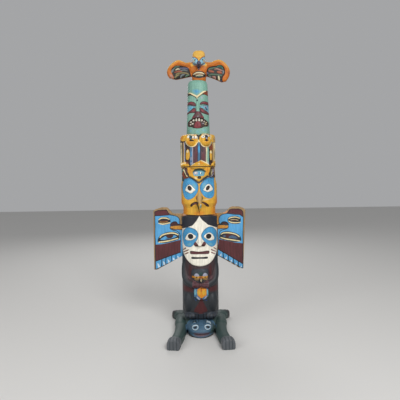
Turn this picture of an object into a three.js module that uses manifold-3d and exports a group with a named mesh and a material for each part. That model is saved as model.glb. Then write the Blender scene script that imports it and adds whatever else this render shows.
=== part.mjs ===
// A carved and painted wooden totem pole, in millimetres, +Z up, with its front towards -Y.
// It is five carvings: a frog that lies flat on the ground, the log pole that stands on the frog's back,
// a board wing let into each side of the pole, and a thunderbird on the pole's rounded top.
// The origin is on the ground, under the pole's axis.
import * as THREE from "three";
import { mergeVertices } from "three/addons/utils/BufferGeometryUtils.js";
import Module from "manifold-3d";

// ---- Driving dimensions ------------------------------------------------------------------------

const FROG_BACK = 70; // the pole's foot stands at this height
const MASK_CHIN = 418;
const MASK_TOP = 740;
const HAWK_TOP = 1050;
const TWINS_TOP = 1260;
const POLE_TOP = 1622;
const GAP = 0.3; // clearance between two carvings that touch

// The log's half width at each height, from the bear's feet to the rounded top of the upper figure.
const SILHOUETTE = [
  [FROG_BACK + GAP, 103],
  [84, 113],
  [110, 119],
  [470, 118],
  [500, 115],
  [MASK_TOP - 4, 115],
  [MASK_TOP + 2, 106],
  [786, 106],
  [812, 118],
  [935, 118],
  [962, 111],
  [HAWK_TOP - 6, 110],
  [HAWK_TOP, 115],
  [1235, 116],
  [1253, 112],
  [TWINS_TOP - 2, 102],
  [TWINS_TOP, 77],
  [1440, 71],
  [1594, 65],
  [1611, 58],
  [POLE_TOP, 34],
];
const DEPTH_RATIO = 1.0; // the log's front-to-back radius over its side-to-side radius
const SQUARENESS = 2.3; // exponent of the section's rounded-square curve, where 2 is an ellipse
const LOG_FACETS = 28;

const WING_THICKNESS = 24;
const WING_FRONT = -32; // y of the side wings' front face
const WING_ROOT = 109; // x of the wings' inner edge, in the slot in the pole's side
const WING_HALF_SPAN = 303;
const WING_TIP = { [-1]: 302, [1]: 284 }; // x of each wing's lower tip, left and right
const WING_BORDER = 13; // width of the raised rim round the painted field
const WING_FIELD_DEPTH = 4;

// ---- Solids and outlines -----------------------------------------------------------------------

const wasm = await Module();
wasm.setup();

const SIDES = [-1, 1]; // left and right of the axis, seen from the front

/** Turns a closed three.js geometry into a manifold-3d solid. */
function solid(geometry) {
  const bare = geometry.clone();
  bare.deleteAttribute("normal");
  bare.deleteAttribute("uv");
  const merged = mergeVertices(bare, 1e-3);
  return new wasm.Manifold(
    new wasm.Mesh({
      numProp: 3,
      vertProperties: new Float32Array(merged.attributes.position.array),
      triVerts: new Uint32Array(merged.index.array),
    }),
  );
}

/** Turns a manifold-3d solid into a named mesh with its paint. */
function meshOf(name, made, paint) {
  const { numProp, numVert, vertProperties, triVerts } = made.getMesh();
  const position = new Float32Array(numVert * 3);
  for (let i = 0; i < numVert; i++) {
    position.set(vertProperties.subarray(i * numProp, i * numProp + 3), i * 3);
  }
  const geometry = new THREE.BufferGeometry();
  geometry.setAttribute("position", new THREE.BufferAttribute(position, 3));
  geometry.setIndex(new THREE.BufferAttribute(triVerts, 1));
  geometry.computeVertexNormals();
  const mesh = new THREE.Mesh(geometry, paint);
  mesh.name = name;
  return mesh;
}

/** A body lofted over levels 0 to count - 1: place(angle, level) is a point, and angle 0 is the front. */
function loft(count, segments, place) {
  const profile = [];
  for (let level = -1; level <= count; level++) {
    const onAxis = level < 0 || level === count;
    profile.push(new THREE.Vector2(onAxis ? 0 : 1, level));
  }
  const geometry = new THREE.LatheGeometry(profile, segments);
  const position = geometry.attributes.position;
  for (let i = 0; i <= segments; i++) {
    const angle = ((i % segments) / segments) * 2 * Math.PI;
    for (let j = 0; j < profile.length; j++) {
      const level = THREE.MathUtils.clamp(j - 1, 0, count - 1);
      const point = place(angle, level);
      if (level !== j - 1) {
        const opposite = place(angle + Math.PI, level);
        point.copy(middleOf(place, level)).setZ((point.z + opposite.z) / 2);
      }
      position.setXYZ(i * profile.length + j, point.x, point.y, point.z);
    }
  }
  const made = solid(geometry);
  if (made.volume() > 0) return made;
  geometry.setIndex([...geometry.index.array].reverse());
  return solid(geometry);
}

/** The middle of one level of a loft, from four points a quarter turn apart. */
function middleOf(place, level) {
  const sum = new THREE.Vector3();
  for (let quarter = 0; quarter < 4; quarter++) sum.add(place((quarter * Math.PI) / 2, level));
  return sum.divideScalar(4);
}

/** An ellipsoid at a point, with its three radii. */
function ball(x, y, z, rx, ry, rz, across = 10, up = 6) {
  const geometry = new THREE.SphereGeometry(1, across, up).rotateX(Math.PI / 2);
  return solid(geometry.scale(rx, ry, rz).translate(x, y, z));
}

/** A small ellipsoid, with few faces. */
function knob(x, y, z, rx, ry, rz) {
  return ball(x, y, z, rx, ry, rz, 8, 5);
}

/** A round bar with eight sides through points. */
function bar(points, radius, steps = 7) {
  const path = new THREE.CatmullRomCurve3(points.map((p) => new THREE.Vector3(...p)));
  const section = new THREE.Shape().absarc(0, 0, radius, 0, 2 * Math.PI);
  const options = { steps, extrudePath: path, curveSegments: 4, bevelEnabled: false };
  return solid(new THREE.ExtrudeGeometry(section, options));
}

/** A flat outline in the front view, x and z, as a plate from y = back to y = front. */
function plate(outline, front, back, curveSegments = 6) {
  const options = { depth: back - front, bevelEnabled: false, curveSegments };
  const geometry = new THREE.ExtrudeGeometry(outline, options);
  return solid(geometry.rotateX(Math.PI / 2).translate(0, back, 0));
}

/** An ellipse outline, turned by an angle in radians. */
function oval(x, z, rx, rz, turn = 0) {
  return new THREE.Shape().absellipse(x, z, rx, rz, 0, 2 * Math.PI, false, turn);
}

/** A closed outline of straight lines, with the side's sign on each x. */
function polygon(side, points) {
  return new THREE.Shape(points.map(([x, z]) => new THREE.Vector2(side * x, z)));
}

/** An almond eye outline: two arcs that meet at an inner and an outer corner. */
function almond(side, x, z, halfWidth, halfHeight) {
  const outline = new THREE.Shape();
  outline.moveTo(side * (x - halfWidth), z);
  outline.quadraticCurveTo(side * x, z + 2 * halfHeight, side * (x + halfWidth), z);
  outline.quadraticCurveTo(side * x, z - 2 * halfHeight, side * (x - halfWidth), z);
  return outline;
}

// ---- The log and the two ways to carve it ------------------------------------------------------

/** The log's half width at a height, between the levels of its silhouette. */
function halfWidth(z) {
  const above = SILHOUETTE.findIndex(([level]) => level >= z);
  if (above <= 0) return SILHOUETTE.at(above)[1];
  const [lowZ, lowWidth] = SILHOUETTE[above - 1];
  const [highZ, highWidth] = SILHOUETTE[above];
  return THREE.MathUtils.mapLinear(z, lowZ, highZ, lowWidth, highWidth);
}

/** y of the log's front surface at a place in the front view. */
function skin(x, z) {
  const across = Math.min(Math.abs(x) / halfWidth(z), 1);
  return -DEPTH_RATIO * halfWidth(z) * (1 - across ** SQUARENESS) ** (1 / SQUARENESS);
}

/** The whole log with its surface moved out by lift, or in where lift is negative. */
function log(lift = 0) {
  const power = 2 / SQUARENESS;
  return loft(SILHOUETTE.length, LOG_FACETS, (angle, level) => {
    const [z, width] = SILHOUETTE[level];
    const radius = width + lift;
    const x = radius * Math.sign(Math.sin(angle)) * Math.abs(Math.sin(angle)) ** power;
    const y = -radius * Math.sign(Math.cos(angle)) * Math.abs(Math.cos(angle)) ** power;
    return new THREE.Vector3(x, y * DEPTH_RATIO, z);
  });
}

const IN_FRONT = -220; // y of a plane in front of everything on the log
let pole = log();

/** Cuts the log's front down to a depth under its skin, inside an outline of the front view. */
function sink(outline, depth) {
  pole = pole.subtract(plate(outline, IN_FRONT, 0).subtract(log(-depth)));
}

/** Leaves wood up to a height over the log's skin, or under it where negative, inside an outline. */
function raise(outline, height, curveSegments = 6) {
  pole = pole.add(plate(outline, IN_FRONT, 0, curveSegments).intersect(log(height)));
}

/** Joins a shape to the pole. */
function join(shape) {
  pole = pole.add(shape);
}

// ---- Bear: the lowest figure on the log --------------------------------------------------------

const PAW_HEIGHT = 289;
const ARM_RADIUS = 24;
const BEAR_EYE = { x: 28, z: 347 };

for (const side of SIDES) {
  // A thigh and knee, then the foot with its flat sole.
  join(ball(side * 72, -66, 178, 40, 50, 76));
  join(ball(side * 58, -84, 95, 46, 38, 24));
  // An arm comes down from the shoulder and crosses to the middle of the chest.
  const shoulder = [side * 88, -44, 452];
  const upperArm = [side * 96, -62, 385];
  const elbow = [side * 88, -86, 320];
  const wrist = [side * 44, -112, PAW_HEIGHT];
  join(bar([shoulder, upperArm, elbow, wrist], ARM_RADIUS));
  join(ball(side * 23, -122, PAW_HEIGHT, 26, 18, 19));
}
// The small face over the paws, its snout and its two round eyes.
join(ball(0, -104, 368, 60, 36, 52));
join(knob(0, -138, 332, 20, 14, 15));
for (const side of SIDES) join(knob(side * BEAR_EYE.x, -130, BEAR_EYE.z, 17, 10, 14));
// The salmon held under the paws, blunt at the top and rounded below.
const SALMON = [
  [-45, 268],
  [45, 268],
  [45, 228],
  [24, 205],
  [-24, 205],
  [-45, 228],
];
raise(polygon(1, SALMON), 12);

// ---- Mask: the pale face with dark hair --------------------------------------------------------

const MASK_HALF_WIDTH = 117;
const MASK_EYE = { x: 57, z: 603, halfWidth: 32, halfHeight: 22 };

/** The mask's outline: straight temples, and one long curve round the chin. */
function maskOutline() {
  const temple = 540;
  const outline = new THREE.Shape();
  outline.moveTo(-MASK_HALF_WIDTH, MASK_TOP - 5);
  outline.lineTo(-MASK_HALF_WIDTH, temple);
  outline.bezierCurveTo(-108, 470, -62, MASK_CHIN, 0, MASK_CHIN);
  outline.bezierCurveTo(62, MASK_CHIN, 108, 470, MASK_HALF_WIDTH, temple);
  outline.lineTo(MASK_HALF_WIDTH, MASK_TOP - 5);
  return outline;
}

raise(maskOutline(), 9);
for (const side of SIDES) {
  sink(oval(side * 58, 600, 46, 64, side * 0.22), 3);
  raise(almond(side, MASK_EYE.x, MASK_EYE.z, MASK_EYE.halfWidth, MASK_EYE.halfHeight), 4);
  join(knob(side * 20, skin(0, 560) - 12, 560, 15, 14, 14));
}
// The nose: a narrow bridge that widens and stands out down to the nostrils.
const MASK_NOSE = [
  [548, 20, 36],
  [562, 19, 38],
  [600, 13, 24],
  [640, 10, 13],
  [672, 6, 6],
];
join(ridge(MASK_NOSE));
sink(oval(0, 503, 58, 10), -3);
sink(oval(0, 472, 51, 9), -3);

/** A nose or beak on the log's front: each level gives its height, half width and how far it stands out. */
function ridge(levels) {
  return loft(levels.length, 10, (angle, level) => {
    const [z, half, out] = levels[level];
    const front = skin(0, z) - out;
    const back = skin(0, z) + 20;
    const y = THREE.MathUtils.mapLinear(-Math.cos(angle), -1, 1, front, back);
    return new THREE.Vector3(half * Math.sin(angle), y, z);
  });
}

// ---- Hawk: the yellow face with a hooked beak, and the small face between its ears --------------

const HAWK_EYE = { x: 60, z: 908, halfWidth: 32, halfHeight: 25 };

for (const side of SIDES) {
  sink(oval(side * 57, 905, 49, 66, side * -0.1), 7);
  raise(almond(side, HAWK_EYE.x, HAWK_EYE.z, HAWK_EYE.halfWidth, HAWK_EYE.halfHeight), 0);
  // The corner of the mouth turns down beside the beak.
  sink(
    polygon(side, [
      [14, 812],
      [16, 826],
      [40, 827],
      [62, 806],
      [56, 795],
      [38, 813],
    ]),
    5,
  );
  // An upright ear, hollowed in front.
  raise(oval(side * 90, 1004, 21, 40), 8);
  sink(oval(side * 89, 1006, 11, 28), 1);
}
const HAWK_BEAK = [
  [772, 4, 34],
  [786, 9, 44],
  [812, 15, 52],
  [842, 20, 48],
  [872, 14, 28],
  [900, 9, 12],
  [925, 6, 4],
];
join(ridge(HAWK_BEAK));
raise(
  polygon(1, [
    [-66, 1046],
    [-64, 1012],
    [-44, 985],
    [-16, 960],
    [0, 953],
    [16, 960],
    [44, 985],
    [64, 1012],
    [66, 1046],
  ]),
  10,
);
sink(oval(0, 1008, 36, 20), -5);
for (const side of SIDES) join(knob(side * 16, skin(16, 1006) - 5, 1006, 12, 6, 9));
join(knob(0, skin(0, 990) - 8, 988, 8, 10, 12));

// ---- Twins: two round heads side by side over their folded wings --------------------------------

const TWIN = { x: 47, z: 1212, radius: 41 };

for (const side of SIDES) {
  join(ball(side * TWIN.x, -88, TWIN.z, TWIN.radius, 46, TWIN.radius, 14, 8));
  raise(oval(side * 72, 1129, 13, 48), 5);
  raise(oval(side * 104, 1129, 8, 52), 6);
  join(knob(side * 88, skin(88, 1062) + 8, 1063, 25, 22, 12));
}
raise(polygon(1, [[-5, 1180], [-5, 1070], [5, 1070], [5, 1180]]), 6);
for (const side of SIDES) sink(oval(side * 26, 1124, 15, 54), 3);
join(ball(0, skin(0, 1060) + 14, 1054, 50, 32, 27));

// ---- Upper figure: the green face with its teeth bared -----------------------------------------

for (const side of SIDES) {
  // Brow, eye and cheek: three bands from the nose out round the side of the face.
  raise(oval(side * 42, 1463, 29, 11, side * -0.15), 5);
  sink(oval(side * 42, 1436, 25, 14), 3);
  raise(oval(side * 45, 1436, 16, 9), 0);
  raise(oval(side * 45, 1408, 28, 12, side * -0.35), 4);
}
const FIGURE_NOSE = [
  [1360, 30, 14],
  [1374, 24, 19],
  [1400, 11, 17],
  [1440, 9, 9],
  [1478, 7, 3],
];
join(ridge(FIGURE_NOSE));
// The edge of the cap runs down to a point over the nose.
raise(
  polygon(1, [
    [-66, 1545],
    [-66, 1528],
    [0, 1486],
    [66, 1528],
    [66, 1545],
    [0, 1503],
  ]),
  4,
);
// The open mouth, cut in under an arch, with the teeth and the tongue left standing.
const MOUTH = new THREE.Shape();
MOUTH.moveTo(-62, 1302);
MOUTH.bezierCurveTo(-56, 1340, -30, 1358, 0, 1358);
MOUTH.bezierCurveTo(30, 1358, 56, 1340, 62, 1302);
MOUTH.quadraticCurveTo(44, 1318, 30, 1300);
MOUTH.lineTo(-30, 1300);
MOUTH.quadraticCurveTo(-44, 1318, -62, 1302);
sink(MOUTH, 8);
const TOOTH = 8; // half the width of a tooth, which is square with its corners cut off
for (const side of SIDES) {
  for (const [x, z] of [[9, 1346], [27, 1342], [44, 1331], [50, 1315]]) {
    raise(oval(side * x, z, TOOTH, TOOTH), 0, 2);
  }
}
raise(oval(0, 1316, 24, 20), -1);

// ---- Side wings: two boards let into slots in the pole -----------------------------------------

const WING_BACK = WING_FRONT + WING_THICKNESS;
const WING_BOTTOM = 377;
const WING_HEEL = 468; // where the slanting lower edge meets the pole
const FEATHERS = 5;

/** A side wing's outline, inset by a margin on all but the lower edge. */
function wingOutline(side, margin = 0) {
  const tip = WING_TIP[side];
  return polygon(side, [
    [WING_ROOT + margin, 743 - margin],
    [166 + margin / 3, 744 - margin],
    [190 + margin / 3, 760 - margin],
    [213 + margin / 2, 785 - margin],
    [286 - margin / 2, 775 - margin],
    [WING_HALF_SPAN - margin, 762 - margin],
    [tip - margin, WING_BOTTOM],
    [tip - 20, WING_BOTTOM],
    [WING_ROOT + margin, WING_HEEL],
  ]);
}

/** One board wing: a rim, a sunk field with two carved eyes and an open beak, and grooves between feathers. */
function boardWing(side) {
  const carving = WING_FRONT + WING_FIELD_DEPTH;
  const cut = (outline, depth) => plate(outline, WING_FRONT - 20, carving + depth);
  let board = plate(wingOutline(side), WING_FRONT, WING_BACK);
  board = board.subtract(cut(wingOutline(side, WING_BORDER), 0));
  board = board.subtract(cut(oval(side * 228, 696, 40, 24), 2));
  board = board.subtract(cut(oval(side * 200, 588, 68, 30, side * -0.14), 2));
  board = board.subtract(cut(polygon(side, [[118, 664], [118, 682], [178, 676], [190, 652], [178, 642]]), 3));
  for (let feather = 1; feather < FEATHERS; feather++) {
    const x = THREE.MathUtils.lerp(WING_ROOT, WING_TIP[side], feather / FEATHERS);
    const slant = (WING_HEEL - WING_BOTTOM) / (WING_TIP[side] - WING_ROOT);
    const edge = WING_HEEL - slant * (x - WING_ROOT);
    const groove = [[x - 2, edge - 30], [x + 2, edge - 30], [x + 2, edge + 44], [x - 2, edge + 44]];
    board = board.subtract(cut(polygon(side, groove), 3));
  }
  return board;
}

for (const side of SIDES) {
  const slot = polygon(side, [
    [WING_ROOT - GAP, 743 + GAP],
    [160, 743 + GAP],
    [160, WING_BOTTOM],
    [WING_ROOT - GAP, WING_HEEL - 2 * GAP],
  ]);
  pole = pole.subtract(plate(slot, WING_FRONT - GAP, WING_BACK + GAP));
}

// ---- Frog: the base ----------------------------------------------------------------------------

const LEG_HEIGHT = 58;
const LEG_EDGE = 9; // the rounded upper edge of the legs
const FOOT_FRONT = 398;
const SEAT_RADIUS = 122;

/** Half of the frog seen from above, from the inside of its front leg round to its tail. */
const FROG_HALF = [
  [86, -150],
  [104, -300],
  [121, -FOOT_FRONT],
  [198, -FOOT_FRONT + 14],
  [186, -322],
  [166, -230],
  [167, -60],
  [172, 60],
  [207, 112],
  [210, 176],
  [160, 180],
  [112, 168],
  [60, 190],
];

const leftHalf = FROG_HALF.map(([x, y]) => [-x, y]).reverse();
const legOptions = {
  depth: LEG_HEIGHT,
  bevelSize: LEG_EDGE,
  bevelThickness: LEG_EDGE,
  bevelOffset: -LEG_EDGE,
  bevelSegments: 1,
};
const legShape = new THREE.ExtrudeGeometry(polygon(1, [...FROG_HALF, ...leftHalf]), legOptions);
let frog = solid(legShape.translate(0, 0, -LEG_EDGE));
frog = frog.add(ball(0, 10, 22, 150, 160, 62, 18, 8)); // back
frog = frog.add(ball(0, -132, 34, 88, 92, 44, 18, 10)); // head
for (const side of SIDES) {
  frog = frog.add(knob(side * 38, -176, 60, 24, 22, 20)); // eye
  frog = frog.add(ball(side * 130, -56, 34, 40, 92, 36)); // shoulder
  frog = frog.add(ball(side * 150, 120, 30, 50, 64, 36)); // knee of the hind leg
  for (const toe of [-20, 0, 20]) {
    const groove = new THREE.BoxGeometry(4, 84, 80).translate(side * 158 + toe, -FOOT_FRONT, 44);
    frog = frog.subtract(solid(groove));
  }
}
// The pole's foot stands in a shallow round seat, and the belly is flat on the ground.
const seat = new THREE.CylinderGeometry(SEAT_RADIUS, SEAT_RADIUS, 80, LOG_FACETS).rotateX(Math.PI / 2);
frog = frog.subtract(solid(seat.translate(0, 0, FROG_BACK + 40)));
const underGround = new THREE.BoxGeometry(900, 1200, 60).translate(0, 0, -30);
frog = frog.subtract(solid(underGround));

// ---- Thunderbird -------------------------------------------------------------------------------

const BIRD_FOOT = POLE_TOP + GAP;
const BIRD_TOP = 1812;
const BIRD_MIDDLE = 10; // x of the bird's middle: it sits a little to the right of the pole's axis
const BIRD_WING_FRONT = -34;
const BIRD_WING_BACK = 8;
const BIRD_FIELD_DEPTH = 7;
const BIRD_WING_DROP = { [-1]: 1627, [1]: 1609 }; // z of each wing's lowest feathers, left and right

/** One wing from the body out and back: a humped leading edge, a blunt tip and the trailing feathers. */
function birdWing(side) {
  const low = BIRD_WING_DROP[side];
  return [
    [46, 1746],
    [88, 1743],
    [112, 1748],
    [138, 1757],
    [166, 1740],
    [192, 1710],
    [207, 1683],
    [201, 1655],
    [180, low + 3],
    [160, low],
    [100, 1634],
    [46, 1650],
  ];
}

/** The painted field on a wing's front, inside the rounded leading edge. */
function birdField(side) {
  return polygon(side, [
    [52, 1676],
    [66, 1694],
    [100, 1706],
    [140, 1712],
    [164, 1700],
    [184, 1676],
    [178, 1652],
    [160, 1595],
    [52, 1620],
  ]);
}

/** The torso and the head: each level gives z, half width, y of the front and y of the back. */
const BIRD_BODY = [
  [BIRD_FOOT, 44, -44, 36],
  [1636, 49, -54, 38],
  [1664, 51, -54, 40],
  [1696, 60, -48, 38],
  [1728, 56, -40, 34],
  [1748, 38, -28, 28],
];
const BIRD_HEAD = [
  [1688, 4, -106, -96],
  [1704, 14, -112, -70],
  [1722, 27, -104, -24],
  [1742, 39, -88, 20],
  [1766, 41, -68, 28],
  [1792, 41, -58, 28],
  [1806, 35, -50, 22],
  [BIRD_TOP, 24, -38, 10],
];

/** A body lofted upwards through levels of z, half width, front and back. */
function stacked(levels, segments, squareness) {
  const power = 2 / squareness;
  return loft(levels.length, segments, (angle, level) => {
    const [z, half, front, back] = levels[level];
    const across = Math.sign(Math.sin(angle)) * Math.abs(Math.sin(angle)) ** power;
    const along = Math.sign(Math.cos(angle)) * Math.abs(Math.cos(angle)) ** power;
    return new THREE.Vector3(half * across, (front + back) / 2 + (along * (front - back)) / 2, z);
  });
}

const spread = [...birdWing(1), ...birdWing(-1).reverse().map(([x, z]) => [-x, z])];
let bird = plate(polygon(1, spread), BIRD_WING_FRONT, BIRD_WING_BACK);
for (const side of SIDES) {
  const field = plate(birdField(side), -80, BIRD_WING_FRONT + BIRD_FIELD_DEPTH);
  bird = bird.subtract(field);
}
bird = bird.add(stacked(BIRD_BODY, 18, 2.4));
bird = bird.add(stacked(BIRD_HEAD, 18, 2.4));
for (const side of SIDES) bird = bird.add(knob(side * 24, -88, 1732, 12, 12, 11));

// ---- The whole object --------------------------------------------------------------------------

/** Satin paint on wood. */
function paint(colour) {
  return new THREE.MeshStandardMaterial({ color: colour, roughness: 0.6, metalness: 0 });
}

const totem = new THREE.Group();
totem.add(meshOf("frog_base", frog, paint(0x4b5f5a)));
totem.add(meshOf("pole", pole, paint(0xcf9a3a)));
totem.add(meshOf("wing_left", boardWing(-1), paint(0x6fa8d6)));
totem.add(meshOf("wing_right", boardWing(1), paint(0x6fa8d6)));
const thunderbird = meshOf("thunderbird", bird, paint(0xd28a2e));
thunderbird.position.x = BIRD_MIDDLE;
totem.add(thunderbird);

export default totem;
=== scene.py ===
import math

import bpy
import numpy as np
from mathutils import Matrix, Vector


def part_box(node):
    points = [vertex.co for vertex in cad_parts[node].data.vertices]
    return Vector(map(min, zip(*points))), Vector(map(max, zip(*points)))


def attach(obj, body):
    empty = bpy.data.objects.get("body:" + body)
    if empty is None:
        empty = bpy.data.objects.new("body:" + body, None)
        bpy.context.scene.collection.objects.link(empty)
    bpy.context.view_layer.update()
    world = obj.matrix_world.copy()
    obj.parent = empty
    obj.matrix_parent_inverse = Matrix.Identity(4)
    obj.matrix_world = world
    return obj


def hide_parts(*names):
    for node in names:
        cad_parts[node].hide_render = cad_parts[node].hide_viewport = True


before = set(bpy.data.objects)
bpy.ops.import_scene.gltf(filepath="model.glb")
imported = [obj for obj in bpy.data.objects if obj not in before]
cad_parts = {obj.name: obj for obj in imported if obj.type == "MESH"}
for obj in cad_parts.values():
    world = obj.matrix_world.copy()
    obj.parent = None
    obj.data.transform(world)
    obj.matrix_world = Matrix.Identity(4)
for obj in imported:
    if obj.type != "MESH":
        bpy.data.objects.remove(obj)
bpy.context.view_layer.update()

MM = 0.001  # every size below is in millimetres, and a mesh is made in metres
SIDES = (-1, 1)  # left and right, seen from the front

# ---- Frog ----------------------------------------------------------------------------------------
# The base is a frog lying flat on the ground, carved from one wide block and painted grey-green.
# Its front legs reach forward, its head lies between them, and the pole stands in a seat on its back.


def rounded(points, closed=True, steps=6):
    """A smooth line through a few points. Between two of them it is the cubic whose slope at each point
    is half the way from the point before to the point after. A closed line runs back to its start."""
    p = np.array(points, float)
    if closed:
        a, b, c, d = np.roll(p, 1, 0), p, np.roll(p, -1, 0), np.roll(p, -2, 0)
    else:
        p = np.vstack([2 * p[0] - p[1], p, 2 * p[-1] - p[-2]])
        a, b, c, d = p[:-3], p[1:-2], p[2:-1], p[3:]
    a, b, c, d = (q[:, None, :] for q in (a, b, c, d))
    t = (np.arange(steps) / steps)[None, :, None]
    line = b + (c - a) * t / 2 + (2 * a - 5 * b + 4 * c - d) * t**2 / 2 + (3 * b - a - 3 * c + d) * t**3 / 2
    line = line.reshape(-1, line.shape[2])
    return line if closed else np.vstack([line, p[-2]])


def sweep(*points):
    """An open smooth line through points."""
    return rounded(points, closed=False)


def oval(u, v, across, up, turn=0.0, count=28):
    """An ellipse as a closed line: its middle, its two half sizes, and its turn in degrees."""
    angle = np.linspace(0, 2 * np.pi, count, endpoint=False)
    a, b = across * np.cos(angle), up * np.sin(angle)
    c, s = math.cos(math.radians(turn)), math.sin(math.radians(turn))
    return np.stack([u + a * c - b * s, v + a * s + b * c], 1)


def box(left, right, low, high):
    """An upright rectangle as a closed line."""
    return np.array([(left, low), (right, low), (right, high), (left, high)], float)


def ball(x, y, z, rx, ry, rz, count=28):
    """Rings of an ellipsoid from its lowest to its highest point."""
    up = np.linspace(-0.48 * np.pi, 0.48 * np.pi, count // 2)[:, None]
    round_ = np.linspace(0, 2 * np.pi, count, endpoint=False)[None, :]
    flat = np.cos(up)
    rise = z + rz * np.sin(up) + 0 * round_
    return np.stack([x + rx * flat * np.cos(round_), y + ry * flat * np.sin(round_), rise], 2)


def bent_block(levels, squareness=2.6, count=32):
    """Rings of a block carried along a line near the ground. Each level is x, y, half width, lowest and
    highest z; a ring stands square to the line, and its section is a rounded rectangle (superellipse)."""
    level = rounded(levels, closed=False, steps=7)
    way = np.gradient(level[:, :2], axis=0)
    way /= np.hypot(*way.T)[:, None]
    angle = np.linspace(0, 2 * np.pi, count, endpoint=False)
    a = np.sign(np.cos(angle)) * np.abs(np.cos(angle)) ** (2 / squareness)
    b = np.sign(np.sin(angle)) * np.abs(np.sin(angle)) ** (2 / squareness)
    x, y, half, low, high = (level[:, i, None] for i in range(5))
    middle, tall = (low + high) / 2, (high - low) / 2
    return np.stack([x - way[:, 1, None] * half * a, y + way[:, 0, None] * half * a, middle + tall * b], 2)


def shell(rings, first=0):
    """Points and faces of a closed skin over rings of points, with a fan of triangles over each end."""
    count, around = rings.shape[:2]
    index = first + np.arange(count * around).reshape(count, around)
    after = np.roll(index, -1, 1)
    quads = np.stack([index[:-1], after[:-1], after[1:], index[1:]], 2).reshape(-1, 4)
    low, high = first + count * around, first + count * around + 1
    foot = np.stack([after[0], index[0], np.full(around, low)], 1)
    head = np.stack([index[-1], after[-1], np.full(around, high)], 1)
    points = np.vstack([rings.reshape(-1, 3), rings[0].mean(0), rings[-1].mean(0)])
    return points, quads.tolist() + foot.tolist() + head.tolist()


def make(name, points, faces):
    """A smooth-shaded object from points in millimetres."""
    mesh = bpy.data.meshes.new(name)
    mesh.from_pydata((points * MM).tolist(), [], faces)
    mesh.shade_smooth()
    thing = bpy.data.objects.new(name, mesh)
    bpy.context.scene.collection.objects.link(thing)
    return thing


def read(thing, part="vertices", what="co", width=3, kind=np.float32):
    """One value of every vertex, edge or normal as an array."""
    data = getattr(thing.data, part)
    values = np.empty(len(data) * width, kind)
    data.foreach_get(what, values)
    return values.reshape(-1, width)


def settled(thing, values, passes):
    """Values with each moved half the way to the mean of its neighbours, several times over."""
    edges = read(thing, "edges", "vertices", 2, np.int32)
    one, other = np.concatenate([edges, edges[:, ::-1]]).T
    count = len(values)
    touching = np.bincount(one, minlength=count)
    for _ in range(passes):
        columns = [np.bincount(one, values[other, i], count) / touching for i in range(values.shape[1])]
        values = (values + np.stack(columns, 1)) / 2
    return values


def fused(name, shells, grain, passes):
    """One skin round overlapping closed shells: Remesh joins them in cells of a grain size, and the
    points then settle towards their neighbours, as a rasp would leave them."""
    points, faces = [], []
    for rings in shells:
        more, sides = shell(rings, sum(len(p) for p in points))
        points.append(more)
        faces += sides
    rough = make(name + "_rough", np.vstack(points), faces)
    remesh = rough.modifiers.new("fuse", "REMESH")
    remesh.mode = "VOXEL"
    remesh.voxel_size = grain * MM
    shown = rough.evaluated_get(bpy.context.evaluated_depsgraph_get())
    thing = bpy.data.objects.new(name, bpy.data.meshes.new_from_object(shown))
    bpy.context.scene.collection.objects.link(thing)
    bpy.data.objects.remove(rough)
    thing.data.name = name
    thing.data.shade_smooth()
    return thing, settled(thing, read(thing).astype(float) / MM, passes)


def place(thing, points):
    """Moves an object's points, given in millimetres."""
    thing.data.vertices.foreach_set("co", (points * MM).astype(np.float32).ravel())
    thing.data.update()


REACH = 14.0  # how far from an edge the distance to it is kept


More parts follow.
